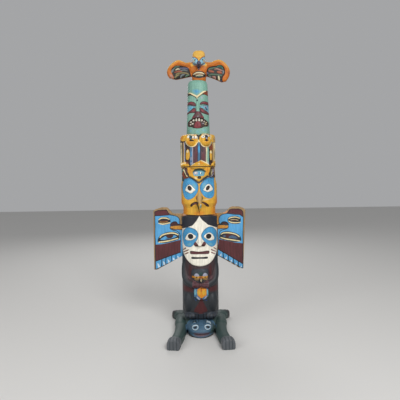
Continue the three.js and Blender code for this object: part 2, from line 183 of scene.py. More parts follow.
class Carving:
    """One painted and carved face of a piece, in a flat view of it whose two directions are u and v.
    lift is how far the knife leaves each point proud, and out how far it stands out to the front. A paint
    has a field, and shows where that is negative: the field is the distance to the edge of the paint."""

    def __init__(self, u, v, facing, colours, fields=None):
        sway = 0.45  # the painter's hand, two slow waves along each edge
        self.u = u + sway * (np.sin(v / 19 + 0.6) + 0.6 * np.sin(u / 9 + v / 13))
        self.v = v + sway * (np.sin(u / 21 + 2.2) + 0.6 * np.sin(v / 10 - u / 15))
        self.facing = facing
        self.lift = np.zeros(u.size)
        self.out = np.zeros(u.size)
        self.colours = list(colours)
        if fields is None:
            fields = np.full((len(self.colours), u.size), REACH)
            fields[0] = -REACH
        self.fields = fields

    def distance(self, line, half=None):
        """The points near a line, and how far each lies outside it, negative inside: a closed line where
        half is None, else a stroke whose half width runs through the values of half from end to end."""
        wide = np.atleast_1d(0.0 if half is None else half).astype(float)
        wide = np.interp(np.linspace(0, 1, len(line)), np.linspace(0, 1, len(wide)), wide)
        low, high = line.min(0) - REACH - wide.max(), line.max(0) + REACH + wide.max()
        within = (self.u > low[0]) & (self.u < high[0]) & (self.v > low[1]) & (self.v < high[1])
        near = np.flatnonzero(within & self.facing)
        p = np.stack([self.u[near], self.v[near]], 1)
        gap = np.full(len(near), 1e9)
        inside = np.zeros(len(near), bool)
        last = len(line) if half is None else len(line) - 1
        for i in range(last):
            a, b = line[i], line[(i + 1) % len(line)]
            way, to = b - a, p - a
            share = np.clip(to @ way / max(way @ way, 1e-9), 0, 1)
            width = wide[i] + share * (wide[(i + 1) % len(line)] - wide[i])
            gap = np.minimum(gap, np.hypot(*(to - share[:, None] * way).T) - width)
            if half is None and a[1] != b[1]:
                beside = p[:, 0] < a[0] + (p[:, 1] - a[1]) / way[1] * way[0]
                inside ^= ((a[1] > p[:, 1]) != (b[1] > p[:, 1])) & beside
        return near, np.where(inside, -gap, gap)

    def lay(self, colour, near, gap):
        """Lays a paint over the others wherever gap is negative: its own field becomes the lesser of the
        two distances, and every other field the greater of its own and the distance with its sign turned."""
        gap = np.clip(gap, -REACH, REACH)
        number = self.colours.index(colour)
        before = self.fields[:, near]
        after = np.maximum(before, -gap)
        after[number] = np.minimum(before[number], gap)
        self.fields[:, near] = after

    def paint(self, colour, line, half=None, grow=0.0, soft=1.0):
        """Paints inside a closed line or along a stroke, moved outwards by grow. Where soft is below 1 the
        edge is thinned out into what lies beneath, over about 1 / soft millimetres."""
        near, gap = self.distance(line, half)
        self.lay(colour, near, (gap - grow) * soft)

    def ring(self, colour, line, half, soft=1.0):
        """Paints a line of a half width along a closed line."""
        near, gap = self.distance(line)
        self.lay(colour, near, (np.abs(gap) - half) * soft)

    def band(self, colour, low, high):
        """Paints right round between two heights."""
        self.lay(colour, np.arange(self.v.size), np.maximum(low - self.v, self.v - high))

    def carve(self, line, height, edge=5.0, half=None, grow=0.0):
        """Leaves the wood standing by a height inside a line, or cuts it down where the height is less
        than 0. From the line inwards the surface turns through a quarter round as wide as edge."""
        near, gap = self.distance(line, half)
        share = np.clip((grow - gap) / edge, 0, 1)
        self.lift[near] += height * np.sqrt(1 - (1 - share) ** 2)

    def ridge(self, levels, middle=0.0, crown=2.4):
        """A nose or a beak. Each level gives its height, half width and how far it stands out, and across
        each level it falls off as a rounded arch (superellipse)."""
        v, half, out = rounded(levels, closed=False).T
        across = np.clip(np.abs(self.u - middle) / np.interp(self.v, v, half), 0, 1)
        stands = np.interp(self.v, v, out, left=0, right=0) * (1 - across**crown) ** (1 / crown)
        self.out = np.maximum(self.out, np.where(self.facing, stands, 0))


def srgb(red, green, blue):
    """A colour as a paint chart gives it, 0 to 255, as the light that it sends back."""
    c = np.array([red, green, blue]) / 255
    return tuple(np.where(c <= 0.04045, c / 12.92, ((c + 0.055) / 1.055) ** 2.4))


def node(tree, kind, inputs, **settings):
    """Adds a shader node; an input that is a socket is linked, and any other is set."""
    made = tree.nodes.new("ShaderNode" + kind)
    for key, value in settings.items():
        setattr(made, key, value)
    for socket, value in inputs.items():
        if isinstance(value, bpy.types.NodeSocket):
            tree.links.new(value, made.inputs[socket])
        else:
            made.inputs[socket].default_value = value
    return made


def ramp(tree, value, start, end, low=0.0, high=1.0):
    """A value carried in a straight line from start..end to low..high, and held at both ends."""
    sockets = {0: value, "From Min": start, "From Max": end, "To Min": low, "To Max": high}
    return node(tree, "MapRange", sockets).outputs[0]


def noise(tree, scale, detail=3.0, roughness=0.5):
    """Noise in the object's own space, with its scale along x, y and z."""
    place_ = node(tree, "TexCoord", {}).outputs["Object"]
    stretched = node(tree, "Mapping", {"Vector": place_, "Scale": scale}).outputs[0]
    sockets = {"Vector": stretched, "Scale": 1.0, "Detail": detail, "Roughness": roughness}
    return node(tree, "TexNoise", sockets).outputs[0]


def blend(tree, share, one, other):
    """A colour between two, by a share."""
    return node(tree, "Mix", {0: share, 6: one, 7: other}, data_type="RGBA").outputs[2]


def painted_wood(name, palette, along=2, bare=(116, 96, 74), worn=1.0):
    """Brushed satin paint on carved cedar. Each paint shows where its field is negative, with a soft edge.
    Over that: streaks from the brush along the grain, rubbed edges that show bare wood, painted shade
    that darkens the hollows, and thin drying cracks. along is the axis of the grain: 0, 1 or 2."""
    blur = 0.55  # half the width of a paint's edge
    material = bpy.data.materials.new(name)
    material.use_nodes = True
    tree = material.node_tree
    shader = tree.nodes["Principled BSDF"]
    colour, total = None, None
    for number, chart in enumerate(palette.values()):
        if number % 3 == 0:
            stored = node(tree, "Attribute", {}, attribute_name=f"paint_{number // 3}")
            fields = node(tree, "SeparateXYZ", {0: stored.outputs["Vector"]})
        share = ramp(tree, fields.outputs[number % 3], blur, -blur)
        coat = node(tree, "VectorMath", {0: srgb(*chart), "Scale": share}, operation="SCALE").outputs[0]
        if number:
            coat = node(tree, "VectorMath", {0: colour, 1: coat}, operation="ADD").outputs[0]
            share = node(tree, "Math", {0: total, 1: share}, operation="ADD").outputs[0]
        colour, total = coat, share
    total = node(tree, "Math", {0: total, 1: 0.01}, operation="MAXIMUM").outputs[0]
    whole = node(tree, "Math", {0: 1.0, 1: total}, operation="DIVIDE").outputs[0]
    colour = node(tree, "VectorMath", {0: colour, "Scale": whole}, operation="SCALE").outputs[0]

    def stretched(fine, long):
        return [long if axis == along else fine for axis in range(3)]

    brush = noise(tree, stretched(160, 16), 4)
    clouds = noise(tree, (13, 13, 11), 2)
    streaks = ramp(tree, brush, 0.3, 0.7, 0.84, 1.12)
    patches = ramp(tree, clouds, 0.3, 0.7, 0.88, 1.1)
    for shade in (streaks, patches):
        colour = node(tree, "VectorMath", {0: colour, "Scale": shade}, operation="SCALE").outputs[0]
    relief = node(tree, "Attribute", {}, attribute_name="relief").outputs["Fac"]
    rough_edge = ramp(tree, noise(tree, (110, 110, 70), 5, 0.7), 0.25, 0.75, -1.1, 1.1)
    stands = node(tree, "Math", {0: relief, 1: rough_edge}, operation="ADD").outputs[0]
    rubbed = ramp(tree, stands, 1.1 / worn, 2.2 / worn, 0.0, 0.75)
    colour = blend(tree, rubbed, colour, (*srgb(*bare), 1))
    # painted shade: the colour darkens towards near black where the relief sinks into a hollow
    hollow_shade = ramp(tree, stands, -0.5, -2.6, 0.0, 0.62)
    colour = blend(tree, hollow_shade, colour, (*srgb(34, 27, 22), 1))
    lines = noise(tree, stretched(70, 2.6), 2, 0.4)
    off_line = node(tree, "Math", {0: lines, 1: 0.5}, operation="SUBTRACT").outputs[0]
    off_line = node(tree, "Math", {0: off_line}, operation="ABSOLUTE").outputs[0]
    where = ramp(tree, noise(tree, (9, 9, 5), 1), 0.56, 0.64)
    cracks = node(tree, "Math", {0: ramp(tree, off_line, 0.007, 0.002), 1: where}, operation="MULTIPLY")
    cracks = cracks.outputs[0]
    dark = ramp(tree, cracks, 0, 1, 0, 0.55)
    colour = blend(tree, dark, colour, (*srgb(30, 24, 20), 1))
    tree.links.new(colour, shader.inputs["Base Color"])
    gloss = ramp(tree, brush, 0.3, 0.7, 0.44, 0.6)
    gloss = node(tree, "Math", {0: rubbed, 1: 0.25, 2: gloss}, operation="MULTIPLY_ADD").outputs[0]
    tree.links.new(gloss, shader.inputs["Roughness"])
    shader.inputs["Specular IOR Level"].default_value = 0.4
    height = node(tree, "Math", {0: cracks, 1: -1.5, 2: brush}, operation="MULTIPLY_ADD").outputs[0]
    bump = node(tree, "Bump", {"Strength": 0.5, "Distance": 0.0009, "Height": height})
    tree.links.new(bump.outputs[0], shader.inputs["Normal"])
    return material


def finish(thing, carving, relief, material, body, node_name):
    """Stores the paints' fields, three to an attribute, and the relief, and hands the piece over."""
    fields = carving.fields
    spare = -len(fields) % 3
    fields = np.vstack([fields, np.full((spare, fields.shape[1]), REACH)])
    for number in range(len(fields) // 3):
        stored = thing.data.attributes.new(f"paint_{number}", "FLOAT_VECTOR", "POINT")
        three = fields[3 * number : 3 * number + 3].T
        stored.data.foreach_set("vector", three.astype(np.float32).ravel())
    stored = thing.data.attributes.new("relief", "FLOAT", "POINT")
    stored.data.foreach_set("value", np.clip(relief, -8, 8).astype(np.float32))
    thing.data.materials.append(material)
    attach(thing, body)
    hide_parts(node_name)


def standing(thing, points, passes=8):
    """How far each point stands proud of its surroundings, along its normal."""
    place(thing, points)
    normals = read(thing, "vertex_normals", "vector")
    return ((points - settled(thing, points, passes)) * normals).sum(1)


# The frog's paints are charted darker than its own colours: painted shade, for the light falling off towards
# the ground.
FROG_PAINTS = {
    "leg": (52, 70, 67),
    "foot": (86, 90, 94),
    "hind": (48, 48, 50),
    "head": (66, 96, 118),
    "pale": (168, 186, 196),
    "pupil": (16, 20, 26),
    "brow": (26, 42, 50),
    "mouth": (92, 48, 50),
    "jaw": (70, 68, 66),
}
SEAT_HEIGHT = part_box("pole")[0].z / MM - 0.3  # the seat stays a hair under the pole
SEAT_RADIUS = 122

frog_shells = [
    ball(0, 10, 22, 150, 160, 60),
    ball(0, -134, 32, 88, 94, 45),
    ball(0, -144, 8, 82, 86, 24),
]
for side in SIDES:
    frog_shells.append(ball(side * 38, -178, 60, 26, 22, 18, 20))
    frog_shells.append(ball(side * 130, -56, 34, 40, 92, 34))
    frog_shells.append(ball(side * 136, 108, 26, 46, 60, 32))
    front_leg = [
        (side * 138, 70, 30, -12, 48),
        (side * 132, -20, 36, -14, 57),
        (side * 126, -120, 37, -14, 57),
        (side * 130, -220, 34, -14, 56),
        (side * 141, -290, 34, -13, 52),
        (side * 148, -316, 34, -12, 50),
        (side * 152, -332, 39, -12, 56),
        (side * 156, -360, 40, -12, 58),
        (side * 160, -391, 38, -9, 55),
    ]
    frog_shells.append(bent_block(front_leg, 2.9))
    hind_leg = [
        (side * 96, 96, 36, -12, 50),
        (side * 146, 118, 36, -12, 54),
        (side * 172, 136, 28, -12, 52),
        (side * 186, 154, 20, -8, 46),
    ]
    frog_shells.append(bent_block(hind_leg, 3.0))
    frog_shells.append(ball(side * 60, 140, 22, 70, 44, 34))
frog, frog_points = fused("frog_carving", frog_shells, 2.8, 3)
x, y, z = frog_points.T
over_seat = np.hypot(x, y) < SEAT_RADIUS
z = np.where(over_seat, np.minimum(z, SEAT_HEIGHT), z)
frog_points = np.stack([x, y, np.maximum(z, 0)], 1)
place(frog, frog_points)
frog_normals = read(frog, "vertex_normals", "vector")

# From above: the feet, and the grooves between the toes.
above = Carving(x, y, frog_points[:, 2] > 0.5, FROG_PAINTS)
for side in SIDES:
    front_foot = rounded(np.array([(108, -322), (150, -334), (192, -318), (212, -402),
                                   (108, -408)]) * (side, 1))
    above.paint("foot", front_foot, soft=0.12)
    hind_foot = np.array([(160, 116), (214, 100), (216, 190), (132, 196)]) * (side, 1)
    above.paint("hind", hind_foot, soft=0.12)
    wrist = sweep((side * 112, -318), (side * 150, -330), (side * 190, -316))
    above.carve(wrist, -2.5, 4, half=2.5)
    for toe in (-19, 1, 20):
        toe_line = np.array([(side * (154 + toe), -346), (side * (160 + toe), -402)])
        above.carve(toe_line, -3.2, 4, half=2.4)
        above.paint("brow", toe_line, 1.6, soft=0.5)
    for toe in (-16, 4):
        above.carve(np.array([(side * (176 + toe), 140), (side * (184 + toe), 190)]), -3, 4, half=3)
frog_head = rounded([(0, -60), (76, -82), (98, -150), (70, -222), (0, -240), (-70, -222), (-98, -150),
                     (-76, -82)])
above.paint("head", frog_head, soft=0.3)
frog_points = frog_points + above.lift[:, None] * frog_normals

# From in front: the face between the legs.
frog_front = (y < -120) & (np.abs(x) < 94) & (z > 0.5)
face = Carving(x, frog_points[:, 2], frog_front, FROG_PAINTS, above.fields)
face.paint("leg", rounded([(96, 8), (60, 22), (66, 50), (96, 60)]), soft=0.08)
face.paint("jaw", rounded([(-70, 12), (0, 4), (72, 12), (60, -12), (-60, -12)]), soft=0.2)
face.paint("mouth", rounded([(-40, 30), (0, 33), (50, 29), (48, 15), (0, 12), (-38, 15)]), soft=0.08,
           grow=-2)
lip = sweep((-52, 25), (-30, 21), (0, 24), (34, 22), (58, 26))
face.paint("brow", lip, 1.8, soft=0.5)
face.carve(lip, -3.5, 4, half=2.5)
for side, middle in ((-1, -36), (1, 43)):
    eye = oval(middle, 59, 21, 13, side * -10)
    face.paint("brow", eye, grow=2)
    face.paint("pale", eye)
    face.paint("head", oval(middle, 58, 16, 8, side * -10), soft=0.4)
    face.paint("pupil", oval(middle - side, 59, 11, 5, side * -26))
    for height in (82, 90):
        lid = sweep((middle - 24, height - 6), (middle - 4, height + 2), (middle + 22, height - 5))
        face.paint("brow", lid, (1.5, 2.4, 1.5), soft=0.6)
frog_points = frog_points + face.lift[:, None] * frog_normals
frog_points[:, 2] = np.maximum(frog_points[:, 2], 0)
frog_relief = standing(frog, frog_points)
frog_wood = painted_wood("frog_painted_cedar", FROG_PAINTS, along=1, worn=0.8)
finish(frog, above, frog_relief, frog_wood, "root", "frog_base")

# ---- Pole ----------------------------------------------------------------------------------------
# One cedar log, carved in relief on its front and sides and left plain behind. From the ground up it is
# a bear, a pale mask, a hawk, twins over their folded wings, and a green figure with bared teeth.

POLE_PAINTS = {
    "slate": (40, 44, 48),
    "maroon": (94, 48, 52),
    "white": (232, 227, 212),
    "blue": (68, 146, 192),
    "black": (24, 20, 20),
    "yellow": (214, 162, 50),
    "orange": (208, 132, 28),
    "green": (116, 160, 144),
    "cream": (222, 208, 166),
    "teal": (42, 68, 66),
    "hair": (34, 36, 44),
    "brown": (54, 32, 24),
    "rust": (124, 58, 32),
    "lavender": (158, 158, 174),
    "plum": (90, 58, 64),
    "red": (126, 48, 56),
    "tan": (178, 144, 90),
    "deep": (34, 56, 92),
    "umber": (60, 44, 47),
    "wine": (72, 28, 30),
    "ash": (46, 52, 60),
    "steel": (66, 106, 138),
    "sky": (108, 162, 176),
    "olive": (76, 66, 28),
}
# Height and half width of the log, from its foot to its top.
SILHOUETTE = np.array([
    (70.3, 103), (84, 113), (110, 119), (470, 118), (500, 115), (736, 115), (742, 106), (786, 106),
    (812, 118), (935, 118), (962, 111), (1044, 110), (1050, 115), (1235, 116), (1253, 112), (1258, 102),
    (1260, 77), (1440, 71), (1594, 65), (1611, 58), (1622, 34),
])
SQUARENESS = 2.3  # exponent of the log's section, a rounded square, where 2 is a circle
HAWK_FOOT, HAWK_TOP = 741, 1048  # the saw cuts below and above the hawk
TWINS_TOP = 1262  # where the log narrows to the upper figure
AROUND = 160  # points round the log
ROW = 2.62  # height between two rows of points
pole_foot, pole_top = (corner.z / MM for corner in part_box("pole"))
heights = np.linspace(pole_foot, pole_top, int((pole_top - pole_foot) / ROW))
step = np.linspace(-1, 1, AROUND, endpoint=False)
turn = np.pi * (0.42 * step + 0.2 * step**3 + 0.38 * step**5)  # columns stand closer at the front
half_width = np.interp(heights, *SILHOUETTE.T)[:, None]
power = np.abs(np.sin(turn)) ** SQUARENESS + np.abs(np.cos(turn)) ** SQUARENESS
radius = half_width * power ** (-1 / SQUARENESS)


def skin(x, z):
    """y of the log's front at a place in the front view."""
    wide = np.interp(z, *SILHOUETTE.T)
    return -wide * (1 - (abs(x) / wide) ** SQUARENESS) ** (1 / SQUARENESS)


def swell(x, y, z, rx, ry, rz, fillet=6.0):
    """Swells the log out to an ellipsoid: along each ray from the axis it reaches the ray's last crossing
    of the ellipsoid, a root of a quadratic, and the two surfaces meet in a hollow of a fillet's width."""
    rows = slice(*np.searchsorted(heights, (z - rz, z + rz)))
    level = 1 - ((heights[rows, None] - z) / rz) ** 2
    across, ahead = np.sin(turn)[None, :], -np.cos(turn)[None, :]
    a = (across / rx) ** 2 + (ahead / ry) ** 2
    b = across * x / rx**2 + ahead * y / ry**2
    inner = b**2 - a * ((x / rx) ** 2 + (y / ry) ** 2 - level)
    reach = np.where(inner > 0, (b + np.sqrt(np.maximum(inner, 0))) / a, 0)
    old = radius[rows]
    near = np.maximum(fillet - np.abs(reach - old), 0) / fillet
    radius[rows] = np.maximum(reach, old) + near**2 * fillet / 4


for side in SIDES:
    swell(side * 72, -66, 178, 40, 50, 76)
    swell(side * 58, -84, 95, 46, 38, 24)
    arm = [(88, -44, 452), (96, -62, 385), (88, -86, 325), (44, -112, 296)]
    for x, y, z in rounded(np.array(arm) * (side, 1, 1), closed=False, steps=9):
        swell(x, y, z, 24, 24, 24, 3.0)
    swell(side * 23, -122, 298, 26, 18, 20)
    swell(side * 88, skin(88, 1062) + 8, 1063, 25, 22, 12)
swell(0, -104, 368, 60, 36, 48)
swell(-45, -88, 1214, 39, 46, 41)
swell(50, -88, 1213, 40, 46, 42)
swell(0, skin(0, 1060) + 14, 1054, 50, 32, 27)

# The log bends a little to the left at the twins.
lean = np.interp(heights, (930, 1000, 1060, 1250, TWINS_TOP), (0, -3, -5, -4, 0))[:, None]
pole_x, pole_y = radius * np.sin(turn) + lean, -radius * np.cos(turn)
pole_z = np.repeat(heights[:, None], AROUND, 1)
pole = Carving(pole_x.ravel(), pole_z.ravel(), pole_y.ravel() < -6, POLE_PAINTS)

# Bear: dark, with a small face over crossed paws, holding a fish.
pole.band("slate", 0, 480)
pole.paint("umber", rounded([(-92, 470), (-94, 346), (-50, 318), (50, 318), (92, 346), (92, 470)]),
           soft=0.12)
for side in SIDES:
    pole.paint("wine", oval(side * 64, 386, 10, 36), soft=0.09)
    pole.paint("plum", oval(side * 70, 340, 6, 12, side * -30), soft=0.25)
    arm = np.array([(106, 452), (112, 385), (102, 324), (76, 304), (46, 302)]) * (side, 1)
    pole.paint("slate", rounded(arm, closed=False), (14, 15, 17, 18, 14), soft=0.09)
    thigh_band = np.array([(44, 250), (112, 246), (116, 282), (44, 280)]) * (side, 1)
    pole.paint("wine", thigh_band, soft=0.07)
    pole.paint("hair", sweep((side * 104, 300), (side * 80, 284), (side * 48, 277)), 2, soft=0.4)
pole.paint("ash", rounded([(-54, 352), (-53, 388), (-30, 400), (30, 400), (51, 388), (50, 352), (30, 322),
                           (-30, 322)]))
for middle in (-22, 31):
    eye = oval(middle, 353, 17, 22)
    pole.carve(eye, 2.5, 9)
    pole.paint("teal", eye, grow=2.5, soft=0.4)
    pole.paint("lavender", eye, soft=0.3)
    pole.paint("tan", oval(middle, 334, 16, 8), soft=0.3)
pole.paint("teal", rounded([(-8, 380), (14, 380), (9, 362), (3, 356), (-3, 362)]))
pole.paint("orange", box(-53, 49, 342.5, 356))
for middle in (-22, 31):
    pole.paint("yellow", oval(middle, 350, 16, 5.5), soft=0.5)
    pole.paint("brown", oval(middle - 1, 349.5, 4.6, 4.6))
pole.paint("rust", oval(4, 350, 9, 4), soft=0.5)
pole.ridge([(312, 6, 6), (324, 9, 13), (340, 9, 10), (354, 5, 3)], 5)
pole.paint("cream", oval(5, 329, 6, 10))
hands = rounded([(-47, 322), (-47, 282), (0, 276), (50, 282), (50, 322), (26, 314), (4, 308), (-20, 314)])
pole.paint("plum", hands)
pole.paint("wine", oval(-34, 290, 12, 8), soft=0.2)
for side in SIDES:
    for inner, outer in ((306, 312), (298, 301), (290, 291)):
        finger = np.array([(side * 4, inner), (side * 24, (inner + outer) / 2 + 3), (side * 44, outer)])
        pole.carve(finger, -3, 3, half=2)
        pole.paint("wine", finger, 1.8, soft=0.6)
fish = np.array([(-40, 274), (48, 274), (50, 230), (38, 210), (4, 196), (-24, 206), (-41, 222)])
pole.carve(fish, 10, 7)
pole.paint("steel", fish)
for side, middle in ((-1, -30), (1, 43)):
    pole.paint("sky", oval(middle, 252, 7, 17), soft=0.2)
    pole.paint("teal", np.array([(middle - 10, 220), (middle, 216), (middle + 8, 222)]), 4, soft=0.3)
pole.paint("lavender", np.array([(-20, 222), (-6, 205)]), 4, soft=0.5)
pole.paint("lavender", np.array([(36, 226), (25, 212)]), 4, soft=0.5)
pole.paint("deep", np.array([(-40, 211), (-28, 198)]), 4, soft=0.5)
pole.paint("deep", np.array([(24, 203), (38, 196)]), 4, soft=0.5)
pole.paint("orange", np.array([(-18, 271), (0, 278), (7, 290), (13, 278), (36, 271), (35, 232), (4, 213),
                               (-17, 232)]))
for middle in (-9, 20):
    pole.paint("yellow", oval(middle, 250, 10, 16), soft=0.25)
pole.paint("rust", np.array([(5, 288), (5, 258)]), 2, soft=0.4)
pole.paint("wine", rounded([(5, 216), (14, 203), (6, 190), (-4, 203)], steps=4), grow=1)
pole.paint("wine", rounded([(-43, 124), (-20, 170), (4, 200), (26, 170), (43, 124), (1, 112)], steps=5),
           soft=0.5)
pole.paint("ash", rounded([(-104, 124), (-40, 122), (0, 112), (40, 122), (104, 124), (96, 74), (-96, 74)]),
           soft=0.15)
for side in SIDES:
    for toe in (16, 36, 58, 80):
        pole.carve(np.array([(side * toe, 74), (side * toe, 108)]), -4, 4, half=2.5)
        pole.paint("black", np.array([(side * toe, 74), (side * toe, 106)]), 1.8, soft=0.5)
    pole.paint("black", sweep((side * 12, 120), (side * 58, 125), (side * 106, 122)), 2, soft=0.4)

# Mask: a pale face under dark hair, with blue round its eyes.
mask_edge = [(-118, 736), (-118, 560), (-112, 515), (-94, 470), (-56, 429), (0, 415)]
mask_line = np.array(mask_edge + [(-x, z) for x, z in mask_edge[-2::-1]], float)
mask_line = np.vstack([mask_line[:1], rounded(mask_line[1:-1], closed=False, steps=5), mask_line[-1:]])
pole.carve(mask_line, 9, 8)
pole.band("hair", 500, HAWK_FOOT)
pole.paint("white", mask_line)
hair = [(-125, 745), (-125, 644), (-104, 650), (-74, 661), (-41, 676), (-17, 706), (0, 735), (17, 709),
        (50, 678), (78, 666), (104, 654), (125, 646), (125, 745)]
pole.paint("hair", np.array(hair))
pole.carve(np.array(hair), 2.5, 3)
mask_sockets = (
    rounded([(-104, 612), (-94, 641), (-74, 660), (-48, 658), (-22, 645), (-9, 620), (-13, 594), (-28, 568),
             (-50, 541), (-70, 537), (-90, 543), (-102, 568)]),
    rounded([(11, 614), (27, 644), (50, 661), (74, 661), (96, 642), (107, 617), (105, 577), (93, 545),
             (72, 536), (54, 546), (34, 566), (17, 588)]),
)
mask_eyes = (
    rounded([(-90, 583), (-76, 614), (-56, 626), (-36, 616), (-22, 604), (-38, 586), (-60, 578)], steps=5),
    rounded([(26, 605), (42, 620), (60, 626), (79, 614), (90, 583), (60, 576), (38, 590)], steps=5),
)
for side, socket, eye in zip(SIDES, mask_sockets, mask_eyes):
    pole.carve(socket, -5, 9)
    pole.paint("blue", socket)
    pole.ring("steel", socket, 1.6, soft=0.3)
    pole.paint("sky", oval(side * 66, 552, 14, 6, side * -20), soft=0.12)
    pole.carve(eye, 4, 6)
    pole.paint("steel", eye, grow=2, soft=0.5)
    pole.paint("white", eye)
    pole.paint("black", oval(side * 54, 604, 16.5, 17))
    pole.paint("hair", oval(side * 54 - 3, 607, 4, 4), soft=0.4)
    pole.carve(oval(side * 21, 556, 13, 13), 10, 13)
    nostril = np.array([(8, 549), (17, 566), (28, 570), (36, 557), (30, 546), (14, 542)]) * (side, 1)
    pole.paint("maroon", rounded(nostril))
    pole.paint("brown", oval(side * 20, 551, 7, 4), soft=0.3)
    for outer, inner in (((103, 514), (84, 529)), ((99, 501), (68, 519)), ((92, 488), (69, 501))):
        whisker = np.array([(side * outer[0], outer[1]), (side * inner[0], inner[1])])
        pole.paint("red" if side > 0 else "rust", whisker, (1.6, 2.6), soft=0.7)
        pole.paint("ash", whisker + (0, -4), (1, 1.6), soft=0.7)
pole.ridge([(544, 12, 18), (556, 13, 22), (575, 11, 18), (600, 9, 12), (640, 7, 6), (672, 5, 2)])
pole.paint("brown", np.array([(-27, 543), (28, 543)]), 1.9, soft=0.7)
mouth_line = rounded([(-57, 503), (-50, 511), (0, 508), (48, 511), (56, 503), (48, 493), (0, 494),
                      (-51, 493)])
pole.carve(mouth_line, -5, 5)
pole.paint("maroon", mouth_line)
pole.ring("brown", mouth_line, 1.4, soft=0.5)
chin_line = rounded([(-52, 469), (-47, 475), (0, 474), (41, 475), (48, 469), (41, 462), (0, 464),
                     (-47, 462)])
pole.carve(chin_line, -5, 5)
pole.paint("hair", chin_line)

# Hawk: yellow, with a hooked beak and great blue eye sockets, and a small face between its ears.
pole.band("yellow", HAWK_FOOT, HAWK_TOP)
# Painted shade: deeper amber on the jaws' outer flanks and a tan strip down each side, where the log turns
# away from the light.
for side in SIDES:
    jaw = np.array([(126, 862), (104, 836), (96, 806), (78, 770), (84, 742), (128, 742)]) * (side, 1)
    pole.paint("orange", rounded(jaw), soft=0.06)
    pole.paint("tan", box(*sorted((side * 110, side * 128)), 850, 965), soft=0.08)
pole.paint("orange", oval(0, 752, 34, 10), soft=0.07)
# Painted highlight: a soft pale band below the right eye socket.
pole.paint("cream", oval(46, 838, 30, 5, 8), soft=0.12, grow=-3)
hawk_sockets = (
    rounded([(-99, 958), (-93, 970), (-75, 976), (-62, 976), (-45, 971), (-26, 957), (-11, 943), (-5, 926),
             (-6, 906), (-11, 888), (-21, 870), (-36, 853), (-58, 841), (-75, 839), (-91, 849), (-100, 868),
             (-106, 892), (-108, 916), (-105, 941)], steps=3),
    rounded([(6, 915), (9, 931), (18, 945), (34, 962), (50, 973), (66, 978), (84, 980), (97, 982),
             (98, 963), (98, 900), (97, 868), (90, 854), (73, 845), (54, 848), (35, 858), (20, 876),
             (10, 894)], steps=3),
)
hawk_eyes = (
    rounded([(-92, 896), (-90, 908), (-83, 922), (-72, 931), (-61, 934), (-49, 927), (-38, 915), (-25, 900),
             (-33, 893), (-45, 882), (-58, 877), (-71, 883), (-83, 890)], steps=3),
    rounded([(28, 899), (37, 913), (47, 927), (60, 936), (73, 934), (84, 921), (91, 906), (87, 895),
             (73, 889), (57, 885), (42, 890)], steps=3),
)
hawk_pupils = (oval(-61, 911, 14, 17, 24), oval(56.5, 911, 11.5, 17.5, -30))
for side, socket, eye, pupil in zip(SIDES, hawk_sockets, hawk_eyes, hawk_pupils):
    pole.carve(socket, -6, 10)
    pole.paint("blue", socket)
    pole.ring("steel", socket, 1.6, soft=0.3)
    pole.paint("sky", oval(side * 34, 925, 12, 18, side * -30), soft=0.1, grow=-2)
    pole.carve(eye, 6, 8)
    pole.paint("steel", eye, grow=2, soft=0.5)
    pole.paint("white", eye)
    pole.paint("black", pupil)
    pole.paint("brown", oval(pupil[:, 0].mean() + 2, 911, 6, 8), soft=0.2)
    pole.carve(pupil, -2, 4)
    ear = oval(side * 88, 1006, 23, 32)
    pole.carve(ear, 7, 8)
    pole.carve(oval(side * 87, 1008, 11, 24), -5, 6)
pole.paint("brown", rounded([(-113, 1038), (-64, 1038), (-64, 994), (-72, 984), (-96, 976), (-113, 984)],
                            steps=3))
pole.paint("olive", box(-120, -102, 984, 1037))
pole.paint("green", oval(-109, 1018, 6, 20), soft=0.2, grow=-1)
pole.paint("lavender", oval(-109, 992, 4, 6), soft=0.3)
pole.paint("umber", rounded([(-88, 1037), (-67, 1037), (-66, 1000), (-71, 992), (-78, 1002), (-85, 1014)],
                            steps=4))
pole.paint("plum", oval(-77, 1022, 6, 14), soft=0.2)
pole.paint("rust", sweep((-97, 1014), (-100, 1000), (-95, 990), (-86, 981), (-74, 978)), (3, 6, 6, 5, 3))
pole.paint("cream", sweep((-94, 1034), (-92, 1022), (-87, 1008), (-80, 996), (-71, 986)),
           (4, 3.5, 2.2, 2.6, 3))
pole.paint("brown", rounded([(66, 1038), (110, 1038), (108, 984), (92, 978), (72, 981), (66, 988)],
                            steps=3))
pole.paint("olive", box(67, 79, 996, 1036))
pole.paint("plum", rounded([(84, 1038), (97, 1038), (96, 1008), (90, 998), (84, 1006)], steps=4))
pole.paint("lavender", oval(90, 1022, 5, 14), soft=0.2, grow=-2)
pole.paint("tan", box(99, 112, 990, 1038))
pole.paint("cream", sweep((81, 1030), (82, 1010), (76, 994)), (1.6, 2.6, 1.8), soft=0.7)
pole.paint("lavender", sweep((67, 984), (76, 985), (86, 992), (93, 1004)), (2.6, 3, 2.4, 1.6))
pole.paint("teal", rounded([(-118, 986), (-105, 983), (-96, 970), (-100, 955), (-107, 956), (-118, 970)],
                           steps=3))
pole.paint("rust", sweep((-66, 982), (-80, 978), (-98, 974)), (3, 3.2, 3.6))
pole.paint("umber", sweep((57, 986), (72, 982), (90, 984), (100, 990)), (3.5, 3, 2.6, 2.6))
hawk_brows = (
    sweep((-67, 985), (-50, 978), (-34, 968), (-18, 957), (-4, 947)),
    sweep((4, 948), (17, 957), (31, 968), (47, 979), (60, 987)),
)
for brow in hawk_brows:
    pole.paint("ash", brow, (4.5, 5.5, 5.5, 5.5, 4.5))
pole.paint("umber", oval(-0.5, 947, 7, 7))
shield = rounded([(-63, 1054), (-63, 999), (-51, 986), (-34, 975), (-16, 963), (0, 955), (17, 965),
                  (38, 981), (55, 992), (63, 1005), (63, 1054)], steps=3)
pole.carve(shield, 9, 7)
pole.paint("yellow", shield)
for side in SIDES:
    pole.paint("orange", oval(side * 52, 1022, 8, 20), soft=0.07)
pole.paint("cream", oval(-18, 975, 10, 6, -38), soft=0.15, grow=-1)
pole.paint("tan", oval(24, 976, 8, 6, 38), soft=0.15, grow=-1)
